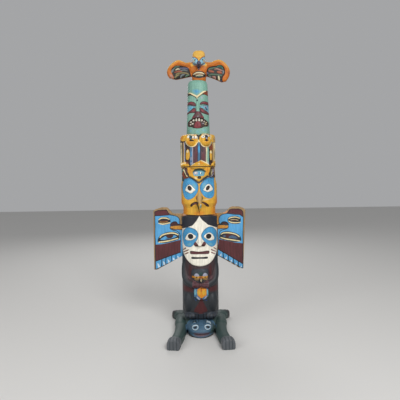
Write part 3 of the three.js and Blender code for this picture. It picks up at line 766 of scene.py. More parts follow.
eye_band = rounded([(-33, 1016), (-31, 998), (-24, 990), (0, 989), (26, 990), (32, 999), (32, 1016),
                    (0, 1024)], steps=4)
pole.carve(eye_band, -3, 6)
pole.paint("teal", eye_band, grow=1.6, soft=0.6)
pole.paint("sky", eye_band)
pole.paint("lavender", oval(-18, 1008, 14, 11), soft=0.3)
pole.paint("white", oval(-20, 1010, 8, 6), soft=0.25, grow=-1)
pole.paint("blue", oval(2, 1005, 5, 10), soft=0.4)
# Painted highlight: a small white glint in the eye band.
pole.paint("white", oval(11, 1008, 4, 6), soft=0.5)
pole.paint("deep", oval(16, 1006, 3.4, 4.4))
cap = sweep((-33, 1017), (-20, 1028), (3, 1031), (23, 1028), (38, 1016))
pole.carve(cap, 4, 4, half=5)
pole.paint("teal", cap, (2.5, 5.5, 7.5, 6, 2.5))
pole.paint("olive", cap + (0, 3), (1, 2, 3, 2, 1), soft=0.4)
pole.carve(oval(3, 979, 10, 8), -4, 5)
pole.paint("brown", rounded([(-6, 986), (12, 986), (12, 972), (-6, 972)], steps=4))
pole.paint("olive", oval(3, 978, 6, 4), soft=0.3)
pole.ridge([(768, 5, 24), (784, 8, 36), (806, 13, 42), (826, 15, 40), (846, 15, 28), (872, 12, 14),
            (900, 8, 6), (925, 5, 2)], 3)
pole.paint("tan", rounded([(-15, 842), (-10, 872), (2, 896), (14, 872), (21, 842), (16, 818), (-8, 818)]),
           soft=0.14)
pole.paint("rust", sweep((-16, 862), (-18, 850), (-15, 837)), (1.5, 3.4, 1.5), soft=0.6)
pole.paint("olive", sweep((21, 860), (23, 848), (20, 836)), (1.5, 3, 1.5), soft=0.6)
hawk_mouths = (
    (sweep((-54, 797), (-47, 806), (-36, 813), (-25, 819), (-10, 818)), (6, 8, 8, 6, 5), "plum"),
    (sweep((22, 819), (30, 816), (40, 810), (50, 802), (58, 795)), (4, 6, 8, 9, 6), "maroon"),
)
for corner, wide, inside in hawk_mouths:
    pole.carve(corner, -5, 6, half=7)
    pole.paint("brown", corner, wide, soft=0.7)
    pole.paint(inside, corner[6:-8], 3, soft=0.4)
pole.paint("rust", sweep((-26, 811), (-14, 810), (-9, 802)), 4, soft=0.2)
# Painted highlight on the beak's right side: a pale green patch and a white glint.
pole.paint("green", oval(8, 797, 6, 13), soft=0.35)
pole.paint("white", oval(10, 808, 3.4, 5), soft=0.5)
# Painted shadow down the beak's left side: an olive stroke with a black core.
pole.paint("olive", sweep((-9, 818), (-10, 804), (-6, 790), (-2, 770)), (2.5, 4, 4, 2), soft=0.7)
pole.paint("black", sweep((-8, 806), (-5, 792), (-1, 774)), (1.5, 2.4, 1.2), soft=0.7)
pole.paint("rust", np.array([(2, 742), (2, 766)]), 1.4, soft=0.6)

# Twins: two small round heads side by side, over stripes that are their folded wings.
pole.band("yellow", HAWK_TOP, TWINS_TOP - 3)
pole.paint("brown", box(-126, 116, 1052, 1226))
pole.paint("hair", box(-86, -78, 1056, 1200))
pole.paint("hair", box(64, 74, 1056, 1200))
stripes = (
    (-118, -106, "cream"), (-99, -92, "tan"), (-92, -86, "lavender"), (-55, -41, "steel"),
    (-41, -35, "lavender"), (-33, -7, "plum"), (15, 46, "plum"), (47, 55, "cream"), (55, 66, "green"),
    (90, 98, "tan"), (98, 112, "cream"),
)
for left, right, colour in stripes:
    stripe = box(left, right, 1056, 1206)
    pole.carve(stripe, 2.5, 3)
    pole.paint(colour, stripe)
for middle, high, wide, tall, colour in (
    (-47, 1100, 4, 14, "lavender"), (-46, 1130, 4, 16, "blue"), (-46, 1070, 4, 8, "lavender"),
    (-14, 1118, 5, 46, "maroon"), (-27, 1160, 4, 20, "umber"), (24, 1160, 8, 22, "umber"),
    (30, 1108, 9, 24, "maroon"), (60, 1070, 4, 12, "lavender"), (51, 1110, 3, 40, "green"),
    (-112, 1180, 4, 18, "olive"), (104, 1130, 4, 40, "olive"),
):
    pole.paint(colour, oval(middle, high, wide, tall), soft=0.22, grow=-1)
pole.carve(box(-5, 11, 1074, 1206), 6, 5)
pole.paint("steel", box(-5, 11, 1078, 1206))
pole.paint("blue", oval(3, 1158, 6, 22), soft=0.25)
pole.paint("rust", rounded([(66, 1184), (88, 1194), (90, 1160), (72, 1158)], steps=4), soft=0.4)
ellipses = (
    rounded([(-68, 1161), (-59, 1148), (-56, 1122), (-60, 1100), (-70, 1091), (-80, 1100), (-81, 1128),
             (-78, 1150)]),
    rounded([(80, 1155), (85, 1140), (86, 1115), (83, 1094), (79, 1088), (75, 1096), (72, 1120),
             (73, 1145)]),
)
for ellipse in ellipses:
    middle, high = ellipse.mean(0)
    pole.carve(ellipse, 5, 7)
    pole.paint("yellow", ellipse)
    pole.paint("cream", oval(middle, high + 22, 6, 9), soft=0.2)
dome = rounded([(-46, 1050), (-40, 1060), (-22, 1073), (0, 1082), (15, 1091), (36, 1080), (60, 1066),
                (64, 1050)], steps=4)
pole.paint("yellow", dome)
# Painted highlights: cream lines along the dome's upper edges, where a raised edge would catch the light.
pole.paint("cream", np.array([(14, 1089), (32, 1080), (52, 1069), (64, 1062)]), (2.4, 3, 3, 2.4))
pole.paint("cream", sweep((-44, 1056), (-37, 1063), (-26, 1070)), 2.2, soft=0.6)
pole.paint("orange", oval(18, 1071, 12, 7, -20), soft=0.12)
pole.paint("cream", oval(2, 1064, 4, 6), soft=0.2)
bumps = (
    rounded([(-122, 1050), (-118, 1066), (-104, 1078), (-84, 1080), (-70, 1070), (-58, 1052), (-64, 1046)]),
    rounded([(77, 1046), (81, 1062), (92, 1077), (110, 1086), (118, 1046)]),
)
for bump in bumps:
    pole.paint("yellow", bump)
pole.paint("cream", sweep((-112, 1062), (-98, 1071), (-82, 1073)), 3, soft=0.4)
pole.paint("olive", oval(100, 1064, 8, 10), soft=0.1, grow=-3)
pole.paint("rust", oval(-74, 1074, 7, 7), soft=0.25)
twin_heads = (
    rounded([(-83, 1262), (-83, 1214), (-80, 1197), (-71, 1184), (-56, 1176), (-35, 1174), (-17, 1182),
             (-6, 1198), (6, 1214), (6, 1262)], steps=4),
    rounded([(-2, 1262), (-2, 1218), (10, 1200), (17, 1187), (29, 1176), (45, 1171), (63, 1173), (76, 1184),
             (85, 1197), (88, 1214), (88, 1262)], steps=4),
)
for head in twin_heads:
    pole.ring("brown", head, 1.6, soft=0.5)
    pole.paint("cream", head)
    pole.paint("yellow", head, grow=-5, soft=0.3)
# Painted shade low on the two round heads: orange on the left one, olive on the right one.
pole.paint("orange", oval(-60, 1200, 11, 10), soft=0.09)
pole.paint("olive", oval(58, 1182, 8, 6), soft=0.09, grow=-4)
pole.paint("yellow", rounded([(-126, 1262), (-76, 1262), (-76, 1216), (-90, 1214), (-106, 1216),
                              (-119, 1226)], steps=3))
pole.paint("orange", oval(-108, 1238, 10, 12), soft=0.08)
pole.paint("yellow", rounded([(74, 1262), (118, 1262), (116, 1216), (104, 1210), (86, 1208), (74, 1214)],
                             steps=3))
# Painted highlight: a pale vertical stripe down the right corner block.
pole.paint("cream", np.array([(80, 1250), (80, 1224)]), 3, soft=0.25)
pole.paint("tan", oval(104, 1226, 10, 14), soft=0.1)
pole.paint("green", rounded([(-16, 1266), (-6, 1256), (4, 1249), (14, 1256), (24, 1266)], steps=3))
split = rounded([(-20, 1263), (-10, 1256), (3, 1248), (15, 1256), (26, 1263), (18, 1248), (9, 1237),
                 (8, 1224), (3, 1219), (-2, 1224), (-3, 1236), (-11, 1247)], steps=3)
pole.carve(split, -5, 5)
pole.paint("hair", split)
pole.paint("olive", oval(3, 1226, 4, 6), soft=0.4)
for left, right, front in ((-70, -12, 1252), (24, 60, 1256)):
    brow = rounded([(left, front - 3), ((left + right) / 2, front + 5), (right, front),
                    ((left + right) / 2, front - 2)])
    pole.paint("cream", brow, grow=2, soft=0.4)
pole.paint("rust", sweep((-39, 1245), (-32, 1249), (-25, 1254)), 1.8, soft=0.5)
pole.paint("ash", sweep((-72, 1249), (-60, 1248), (-48, 1250)), 1.4, soft=0.5)
pole.paint("ash", np.array([(-82, 1259), (-50, 1260), (-20, 1262)]), 1.8, soft=0.6)
pole.paint("white", oval(-64, 1238, 6.5, 8.5))
pole.paint("white", oval(-32, 1238, 7.5, 8))
pole.paint("hair", oval(-25, 1236, 3.6, 6.5), soft=0.6)
pole.paint("white", oval(-16, 1237, 8, 8))
pole.paint("lavender", np.array([(-37, 1229), (-9, 1229)]), 1.8, soft=0.6)
pole.paint("lavender", sweep((38, 1254), (48, 1250), (56, 1256)), 2, soft=0.5)
pole.paint("ash", oval(31, 1238, 13, 9.5), soft=0.5)
pole.paint("white", oval(31, 1239, 12, 9))
pole.paint("teal", oval(32, 1240, 3, 4))
pole.paint("plum", sweep((58, 1259), (70, 1253), (74, 1242), (64, 1238)), (2, 2.6, 2.4, 1.6), soft=0.6)
pole.paint("white", oval(66, 1245, 7, 7))
pole.paint("hair", oval(68, 1244, 2.6, 3.5), soft=0.6)
# Each nose has its own dark colour and a lighter spot low on it, a painted highlight; the sky dot on the
# left nose is a painted highlight too.
noses = ((-49, "teal", "steel"), (52, "ash", "lavender"))
for middle, dark, light in noses:
    beak = rounded([(middle - 9, 1245), (middle + 2, 1248), (middle + 10, 1242), (middle + 9, 1226),
                    (middle + 3, 1218), (middle - 6, 1221)])
    pole.ridge([(1212, 5, 7), (1220, 9, 13), (1234, 9, 9), (1248, 5, 2)], middle)
    pole.paint(dark, beak)
    pole.paint(light, oval(middle + 1, 1226, 5, 5), soft=0.25)
pole.paint("sky", oval(-53, 1240, 3, 4), soft=0.5)
twin_mouths = (
    rounded([(-56, 1212), (-48, 1218), (-33, 1218), (-25, 1212), (-33, 1209), (-48, 1208)]),
    rounded([(39, 1216), (53, 1218), (67, 1216), (61, 1209), (53, 1205), (46, 1209)]),
)
for mouth in twin_mouths:
    pole.carve(mouth, -3, 4)
    pole.paint("brown", mouth)
    pole.paint("orange", oval(mouth[:, 0].mean(), 1201, 9, 4), soft=0.15, grow=-1)
pole.band("brown", 1045, 1050.5)

# Upper figure: pale green, with maroon brows and cheeks and an open mouth full of teeth.
pole.lay("green", np.arange(pole.v.size), np.where(pole.v > TWINS_TOP, TWINS_TOP - pole.v, REACH))
cap_edge = np.array([(-74, 1536), (-60, 1532), (-46, 1528), (-34, 1520), (-18, 1511), (-5, 1503), (7, 1512),
                     (21, 1523), (35, 1534), (49, 1541), (74, 1541)])
pole.carve(cap_edge, 4, 4, half=6)
pole.paint("blue", rounded([(-38, 1546), (-6, 1554), (22, 1540), (0, 1520), (-14, 1518)]), soft=0.05,
           grow=-8)
pole.paint("brown", rounded([(-76, 1534), (-58, 1531), (-44, 1523), (-34, 1514), (-50, 1514), (-76, 1518)],
                            steps=4))
pole.paint("olive", oval(-54, 1524, 9, 4, -20), soft=0.3)
pole.paint("brown", rounded([(30, 1524), (44, 1542), (76, 1546), (76, 1516), (50, 1516)], steps=4))
pole.paint("rust", rounded([(36, 1524), (47, 1538), (76, 1542), (76, 1520), (52, 1519)], steps=4), soft=0.5)
pole.paint("brown", sweep((-40, 1514), (-20, 1503), (-8, 1492), (8, 1503), (22, 1514), (40, 1519)), 2.2,
           soft=0.7)
pole.paint("cream", cap_edge[1:-1], (2, 3.4, 4.4, 5, 5.2, 6.4, 5.4, 5, 4.4, 3))
pole.paint("cream", np.array([(-5, 1504), (-4.5, 1494)]), (6, 2.5))
pole.paint("lavender", oval(26, 1497, 6, 10), soft=0.2, grow=-2)
pole.paint("ash", oval(-4, 1479, 5.6, 7), soft=0.6)
figure_brows = (
    rounded([(-76, 1462), (-60, 1471), (-44, 1472), (-21, 1465), (-12, 1450), (-18, 1443), (-30, 1445),
             (-48, 1452), (-76, 1455)],
            steps=4),
    rounded([(15, 1457), (24, 1468), (42, 1472), (76, 1467), (76, 1453), (35, 1454), (17, 1451)], steps=4),
)
figure_eyes = (
    rounded([(-76, 1449), (-66, 1448), (-39, 1445), (-18, 1442), (-18, 1433), (-32, 1430), (-46, 1419),
             (-64, 1408), (-76, 1404)],
            steps=4),
    rounded([(15, 1440), (35, 1444), (51, 1448), (76, 1446), (76, 1402), (65, 1405), (46, 1420), (33, 1428),
             (17, 1433)], steps=4),
)
figure_cheeks = (
    rounded([(-76, 1403), (-60, 1407), (-48, 1412), (-32, 1425), (-17, 1427), (-14, 1404), (-30, 1400),
             (-54, 1400), (-76, 1391)],
            steps=4),
    rounded([(13, 1427), (25, 1427), (36, 1418), (53, 1409), (76, 1400), (76, 1390), (46, 1392), (25, 1400),
             (15, 1410)], steps=4),
)
for side, brow, eye, cheek in zip(SIDES, figure_brows, figure_eyes, figure_cheeks):
    pole.carve(brow, 5, 5)
    pole.carve(eye, -3, 5)
    pole.carve(cheek, 4, 5)
    pole.paint("umber", cheek, grow=2.5, soft=0.5)
    pole.paint("teal", brow, grow=2, soft=0.6)
    pole.paint("teal", eye, grow=2, soft=0.6)
    pole.paint("sky", eye)
    pole.paint("maroon", brow)
    # Painted highlight: a lighter red stripe along each brow.
    pole.paint("red", oval(side * 44, 1463, 16, 3), soft=0.3)
    pole.paint("maroon", cheek)
    pole.paint("red", oval(side * 28, 1413, 8, 6, side * -30), soft=0.25)
# Painted highlight: pale lavender round the dark mark in the right eye.
pole.paint("lavender", oval(52, 1436, 9, 8, -30), soft=0.3)
pole.paint("blue", oval(-48, 1433, 10, 6), soft=0.15, grow=-1)
pole.paint("deep", np.array([(50, 1438), (59, 1421)]), (3, 4), soft=0.7)
pole.paint("steel", sweep((70, 1446), (60, 1440), (67, 1418)), 1.8, soft=0.5)
pole.ridge([(1357, 36, 12), (1368, 32, 18), (1384, 24, 18), (1402, 15, 16), (1440, 10, 9), (1478, 8, 3)],
           -1)
nose = rounded([(-16, 1404), (13, 1404), (18, 1398), (30, 1378), (38, 1364), (20, 1356), (0, 1358),
                (-20, 1356), (-38, 1362), (-32, 1376), (-20, 1396)], steps=4)
pole.paint("umber", nose, grow=2, soft=0.5)
pole.paint("plum", nose)
for side, middle in ((-1, -29), (1, 27)):
    pole.paint("red", oval(middle, 1369, 7, 8), soft=0.25)
pole.paint("maroon", oval(0, 1396, 14, 5), soft=0.3)
pole.paint("olive", oval(-1, 1378, 12, 10), soft=0.12, grow=-4)
# Painted highlight: a small pale spot on the nose.
pole.paint("lavender", oval(-1, 1373, 3, 4), soft=0.6)
mouth = rounded([(-64, 1338), (-44, 1356), (-24, 1362), (-2, 1363), (22, 1362), (40, 1356), (65, 1336),
                 (63, 1314), (40, 1309), (22, 1301), (-4, 1298), (-27, 1301), (-44, 1309), (-63, 1314)])
pole.carve(mouth, -8, 7)
pole.paint("umber", mouth, grow=2.5, soft=0.6)
pole.paint("brown", mouth)
teeth = (
    (-12, 1352, 7, 8.5, 4, "white"), (7, 1352, 7.5, 8.5, -4, "white"), (-31, 1350, 8, 6.5, 18, "white"),
    (26, 1349, 7.5, 7.5, -10, "white"), (44, 1341, 5, 5, -30, "white"), (-51, 1339, 6.5, 5, 30, "white"),
    (57, 1335, 3.6, 4.2, -30, "cream"), (-53, 1323, 5, 4.6, 0, "white"), (-38, 1328, 8, 5.5, 18, "white"),
    (35, 1328, 8, 4.8, -12, "lavender"), (52, 1324, 7, 4, -12, "cream"),
)
for middle, high, wide, tall, lean_, colour in teeth:
    pole.carve(oval(middle, high, wide, tall, lean_), 8, 4)
    pole.paint(colour, oval(middle, high, wide, tall, lean_))
tongue = rounded([(-28, 1306), (-25, 1326), (-16, 1340), (-3, 1345), (12, 1339), (20, 1326), (20, 1306),
                  (-4, 1300)])
pole.carve(tongue, 6, 10)
pole.paint("red", tongue)
pole.paint("wine", np.array([(-4, 1310), (-4, 1330)]), 1.8, soft=0.4)
for middle, high, wide in ((-52, 1282, 14), (38, 1284, 20), (-4, 1276, 14)):
    pole.paint("sky", oval(middle, high, wide, 10), soft=0.07, grow=-6)

lift, out = (values.reshape(pole_x.shape) for values in (pole.lift, pole.out))
SEAM_HALF, SEAM_DEPTH = 3.0, 3.0
seams = sum(np.exp(-(((heights - seam) / SEAM_HALF) ** 2)) for seam in (HAWK_FOOT, HAWK_TOP))[:, None]
lift = (lift - SEAM_DEPTH * seams) * (1 - np.abs(np.sin(turn)) ** 8)  # none at the sides
pole_rings = np.stack([pole_x + lift * np.sin(turn), pole_y - lift * np.cos(turn) - out, pole_z], 2)
pole_points, pole_faces = shell(pole_rings)
log = make("pole_carving", pole_points, pole_faces)
pole.fields = np.hstack([pole.fields, pole.fields[:, :1], pole.fields[:, -1:]])
carved = np.append((lift + 0.2 * out).ravel(), (0, 0))[:, None]
pole_relief = (carved - settled(log, carved, 8))[:, 0]
pole_wood = painted_wood("pole_painted_cedar", POLE_PAINTS, worn=0.75)
finish(log, pole, pole_relief, pole_wood, "root", "pole")

# ---- Board wings ---------------------------------------------------------------------------------
# Two thick boards, sawn to the outline of a wing and let into slots in the pole's sides. Each front has a
# raised rim and, in low relief, a bird's head and feathers; the back is flat, under the rim's paint.

BOARD_PAINTS = {
    "rim": (150, 122, 84),
    "blue": (84, 156, 204),
    "maroon": (86, 40, 44),
    "line": (24, 40, 50),
    "cream": (226, 208, 158),
    "orange": (194, 134, 50),
    "brown": (70, 36, 34),
    "white": (200, 216, 226),
    "peach": (204, 140, 90),
    "steel": (66, 92, 118),
}
BOARD_ACROSS, BOARD_UP = 104, 216  # points across and up a board
BOARD_ROOT = 109  # x of the edge that is let into the log


def board_grid(low_edge, high_edge, outer_low, outer_high):
    """x and z over a wing board: x runs from the root to an outer edge that leans, and z between a lower
    and an upper edge, both given as points of x and z."""
    s = np.linspace(0, 1, BOARD_ACROSS)[None, :]
    t = np.linspace(0, 1, BOARD_UP)[:, None]
    outer = outer_low + (outer_high - outer_low) * t
    x = BOARD_ROOT + (outer - BOARD_ROOT) * s
    low = np.interp(x, *np.array(low_edge).T)
    high = np.interp(x, *np.array(high_edge).T)
    return x, low + (high - low) * t


def slab(front, back):
    """Points and faces of a closed slab between two grids of points, joined round their edges."""
    rows, columns = front.shape[:2]
    index = np.arange(rows * columns).reshape(rows, columns)
    faces = np.stack([index[:-1, :-1], index[:-1, 1:], index[1:, 1:], index[1:, :-1]], 2).reshape(-1, 4)
    behind = faces[:, ::-1] + rows * columns
    edge = np.concatenate([index[0], index[1:, -1], index[-1, -2::-1], index[-2:0:-1, 0]])
    after = np.roll(edge, -1)
    wall = np.stack([after, edge, edge + rows * columns, after + rows * columns], 1)
    points = np.vstack([front.reshape(-1, 3), back.reshape(-1, 3)])
    return points, np.vstack([faces, behind, wall]).tolist()


def board_wing(side, node_name, outline, paint_face):
    """One board: its grid in front and behind, carved and painted by paint_face, with rounded edges."""
    front_y, back_y = (corner.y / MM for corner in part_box(node_name))
    x, z = board_grid(*outline)
    x = x * side
    face = Carving(x.ravel(), z.ravel(), np.ones(x.size, bool), BOARD_PAINTS)
    rim = np.concatenate([np.stack([x[0], z[0]], 1), np.stack([x[1:, -1], z[1:, -1]], 1),
                          np.stack([x[-1, -2::-1], z[-1, -2::-1]], 1),
                          np.stack([x[-2:0:-1, 0], z[-2:0:-1, 0]], 1)])
    near, gap = face.distance(rim[::4])
    inward = np.full(x.size, REACH)
    inward[near] = np.clip(-gap, 0, REACH)
    paint_face(face)
    soft = 4.0  # radius of the edges
    turn_back = soft * (1 - np.sqrt(1 - (1 - np.clip(inward / soft, 0, 1)) ** 2))
    front = np.stack([x, (front_y + turn_back - face.lift).reshape(x.shape), z], 2)
    back = np.stack([x, (back_y - turn_back).reshape(x.shape), z], 2)
    points, faces = slab(front, back)
    if side < 0:
        faces = [face_[::-1] for face_ in faces]
    thing = make(f"wing_board_{'left' if side < 0 else 'right'}", points, faces)
    bare = np.full((len(face.fields), x.size), REACH)
    bare[0] = -REACH
    face.fields = np.hstack([face.fields, bare])
    carved = np.concatenate([face.lift - turn_back, -turn_back])[:, None]
    relief = (carved - settled(thing, carved, 8))[:, 0]
    finish(thing, face, relief, board_wood, "root", node_name)


def eye_bars(face, outline, lens, bars):
    """A bird's eye: a dark outline, sunk, a lens in it, and cream bars above and below the lens."""
    face.carve(outline, -2.5, 4)
    face.paint("line", outline)
    for bar, wide in bars:
        face.paint("cream", rounded(bar, closed=False), wide)
    face.paint("line", lens, grow=2.2)
    face.paint("brown", lens)


def feathers(face, side, top, low, cuts):
    """Maroon plumage with dark quills, over a row of blue tips with white ends. top is its upper edge and
    low its lower one, each from the outer end inwards, and cuts part the tips."""
    plumage = np.array(top + low[::-1])
    low_line = np.array(low, float)
    face.paint("maroon", plumage)
    face.paint("line", low_line, 2.6)
    face.carve(low_line, -3, 4, half=3)
    (outer, outer_z), (inner, inner_z) = low
    fall = (outer_z - inner_z) / (outer - inner)
    for quill in np.linspace(inner, outer, 9)[1:-1]:
        foot = inner_z + fall * (quill - inner)
        line = np.array([(quill, foot + 8), (quill - side * 3, foot + 92)])
        face.carve(line, -1.4, 2.5, half=1.5)
        face.paint("brown", line, (1.8, 1.0), soft=0.5)
    ends = [outer, *cuts, inner]
    for one, other in zip(ends[:-1], ends[1:]):
        at = one + (other - one) * 0.42
        foot = inner_z + fall * (at - inner)
        patch = np.array([(at - side * 6, foot - 42), (at - side * 2, foot - 30),
                          (at + side * 3, foot - 20)])
        face.paint("white", patch, (6.5, 5.5, 2.0), soft=0.35)
    for cut in cuts:
        foot = inner_z + fall * (cut - inner)
        line = np.array([(cut, foot), (cut + side * 2, foot - 52)])
        face.carve(line, -4, 4, half=3.5)
        face.paint("line", line, 2.4)


def left_face(face):
    """The left board's front: rim, head with open beak, two eyes, and feathers."""
    field = np.array([(-293, 378), (-294, 758), (-272, 767), (-216, 768), (-202, 746), (-186, 734),
                      (-160, 730), (-144, 723), (-134, 712), (-130, 698), (-131, 668), (-105, 660),
                      (-105, 466)])
    face.carve(field, -4, 4)
    face.paint("blue", field)
    face.paint("maroon", np.array([(-294, 732), (-294, 758), (-272, 767), (-216, 768), (-202, 746),
                                   (-195, 735)]))
    face.ring("line", field, 2.0)
    face.paint("line", np.array([(-294, 730), (-200, 734), (-172, 733)]), 2.4)
    face.paint("rim", np.array([(-132, 738), (-132, 668), (-104, 668), (-104, 738)]), soft=0.4, grow=-3)
    mouth = rounded([(-193, 668), (-184, 682), (-168, 690), (-153, 688), (-144, 676), (-126, 671),
                     (-108, 670), (-108, 662), (-180, 661)], steps=4)
    face.carve(mouth, -3, 5)
    face.paint("line", mouth, grow=2.5)
    face.paint("brown", mouth)
    tongue = rounded([(-193, 651), (-188, 660), (-176, 659), (-168, 663), (-108, 662), (-108, 641),
                      (-150, 640), (-186, 642)], steps=4)
    face.carve(tongue, 3, 6)
    face.paint("line", tongue, grow=3.5)
    face.paint("orange", tongue)
    face.paint("brown", oval(-180, 646, 8, 3), soft=0.2)
    jaw = sweep((-192, 646), (-178, 635), (-154, 630), (-138, 620), (-128, 600), (-126, 560))
    face.paint("line", jaw, 2.4)
    eye = rounded([(-273, 692), (-266, 712), (-244, 721), (-212, 719), (-194, 706), (-193, 684),
                   (-206, 674), (-236, 670), (-264, 676)])
    bars = (([(-268, 704), (-252, 714), (-224, 714), (-199, 706)], (3, 4, 4, 3)),
            ([(-269, 681), (-238, 675), (-196, 683)], (3, 4, 3)))
    eye_bars(face, eye, rounded([(-266, 693), (-234, 703), (-200, 696), (-234, 686)]), bars)
    face.paint("orange", sweep((-262, 690), (-240, 687), (-212, 690)), 1.8, soft=0.3)
    low_eye = rounded([(-276, 556), (-272, 586), (-252, 606), (-216, 620), (-168, 623), (-141, 612),
                       (-133, 592), (-140, 574), (-176, 562), (-230, 550)])
    bars = (([(-262, 589), (-246, 603), (-205, 613), (-168, 614), (-142, 604)], (3.5, 4.4, 4.4, 3.5)),
            ([(-269, 557), (-240, 559), (-205, 564), (-176, 571), (-145, 579)], (3.5, 4.4, 3.5)))
    lens = rounded([(-262, 574), (-236, 592), (-200, 603), (-166, 602), (-150, 592), (-170, 583),
                    (-206, 574), (-240, 569)],
                   steps=4)
    eye_bars(face, low_eye, lens, bars)
    face.paint("blue", lens, grow=-1.5)
    face.paint("steel", oval(-206, 580, 20, 4, 12), soft=0.2)
    pupil = rounded([(-222, 602), (-212, 586), (-186, 585), (-174, 601), (-196, 606)], steps=4)
    face.paint("line", pupil, grow=1.5)
    face.paint("brown", pupil)
    top = [(-293, 541), (-262, 543), (-240, 545), (-206, 551), (-170, 560), (-140, 568), (-126, 570)]
    feathers(face, -1, top, [(-293, 431), (-126, 489)], (-252, -225, -187, -158))
    face.ring("line", field, 2.0)


def right_face(face):
    """The right board's front, much as the left one, with a wider rim."""
    field = np.array([(281, 378), (285, 610), (288, 718), (286, 750), (277, 762), (260, 769), (213, 769),
                      (198, 764), (188, 748), (180, 739), (154, 735), (138, 726), (128, 710), (126, 690),
                      (130, 672), (118, 662), (118, 466)])
    face.carve(field, -4, 4)
    face.paint("blue", field)
    maroon = np.array([(182, 741), (200, 766), (262, 769), (278, 762), (288, 748), (289, 720), (280, 722),
                       (266, 733)])
    face.paint("maroon", maroon)
    face.paint("line", np.array([(180, 739), (224, 734), (266, 731), (280, 720), (288, 716)]), 2.4)
    face.paint("peach", rounded([(157, 744), (172, 752), (180, 758), (184, 748), (170, 742)]), soft=0.3,
               grow=2)
    face.paint("orange", box(104, 126, 668, 742), soft=0.12, grow=-2)
    face.paint("peach", box(292, 320, 440, 600), soft=0.06, grow=-3)
    mouth = rounded([(190, 666), (180, 680), (164, 686), (148, 683), (140, 674), (122, 668), (118, 663),
                     (176, 662)], steps=4)
    face.carve(mouth, -3, 5)
    face.paint("line", mouth, grow=2.5)
    face.paint("brown", rounded([(184, 668), (176, 678), (160, 682), (150, 672)]))
    tongue = rounded([(189, 652), (183, 660), (170, 659), (160, 663), (108, 661), (108, 642), (150, 642),
                      (182, 644)], steps=4)
    face.carve(tongue, 3, 6)
    face.paint("line", tongue, grow=3.5)
    face.paint("orange", tongue)
    jaw = sweep((189, 646), (176, 638), (152, 632), (136, 624), (128, 604), (125, 560))
    face.paint("line", jaw, 2.4)
    eye = rounded([(272, 696), (266, 712), (240, 721), (206, 718), (187, 706), (185, 688), (198, 675),
                   (230, 670), (262, 673)])
    bars = (([(192, 703), (204, 711), (236, 715), (266, 707)], (2.5, 3.6, 3.6, 2.5)),
            ([(191, 689), (206, 681), (236, 678), (268, 680)], (2.5, 3.6, 3.6, 2.5)))
    eye_bars(face, eye, rounded([(196, 696), (230, 704), (262, 695), (230, 688)]), bars)
    face.paint("cream", sweep((206, 696), (230, 699), (254, 694)), 1.5, soft=0.3)
    low_eye = rounded([(266, 556), (272, 572), (262, 594), (236, 610), (196, 620), (158, 620), (138, 608),
                       (131, 588), (134, 574), (170, 562), (222, 551)])
    bars = (([(141, 603), (158, 611), (195, 611), (234, 603), (260, 586)], (2.5, 3.6, 3.8, 3.6)),
            ([(136, 582), (165, 573), (207, 565), (262, 558)], (3, 3.8, 3.4)))
    lens = rounded([(148, 590), (170, 601), (204, 603), (236, 594), (256, 574), (222, 572), (186, 577)],
                   steps=4)
    eye_bars(face, low_eye, lens, bars)
    face.paint("steel", rounded([(190, 580), (206, 594), (232, 590), (250, 575), (222, 574)], steps=4))
    face.paint("steel", rounded([(152, 590), (166, 596), (172, 588), (164, 584)], steps=4), soft=0.5)
    top = [(284, 541), (258, 545), (226, 549), (190, 556), (150, 566), (124, 571)]
    feathers(face, 1, top, [(283, 405), (118, 506)], (251, 219, 186, 152))
    face.ring("line", field, 2.0)


board_wood = painted_wood("board_painted_cedar", BOARD_PAINTS, worn=0.75)
left_outline = (
    [(109, 468), (282, 377), (303, 377)],
    [(109, 743), (166, 744), (178, 749), (190, 760), (204, 777), (215, 785), (247, 786), (290, 773),
     (303, 764)],
    302, 303,
)
right_outline = (
    [(109, 468), (264, 377), (303, 377)],
    [(109, 743), (166, 747), (178, 755), (190, 768), (200, 778), (213, 785), (262, 784), (290, 774),
     (303, 760)],
    284, 303,
)
board_wing(-1, "wing_left", left_outline, left_face)
board_wing(1, "wing_right", right_outline, right_face)

# ---- Thunderbird ---------------------------------------------------------------------------------
# A bird with spread wings, carved from one short block and fixed on the rounded top of the pole. Its head
# looks ahead, with the beak hooked down over the breast, and it sits a little to the right.

BIRD_PAINTS = {
    "orange": (182, 100, 20),
    "yellow": (212, 166, 74),
    "blue": (136, 180, 198),
    "slate": (84, 82, 104),
    "black": (32, 28, 26),
    "green": (80, 104, 84),
    "cream": (200, 190, 156),
    "rust": (138, 70, 46),
    "brown": (34, 28, 24),
    "grey": (104, 114, 116),
    "ochre": (126, 114, 76),
    "teal": (38, 92, 76),
    "pink": (160, 116, 104),
}
bird_low, bird_high = (np.array(corner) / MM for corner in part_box("thunderbird"))
BIRD_MIDDLE = 10  # x of the bird's middle
WING_MIDDLE_Y, WING_HALF_DEPTH = -13, 20
BIRD_WING_DROP = {-1: 1627, 1: 1606}  # lowest z of the left and the right wing


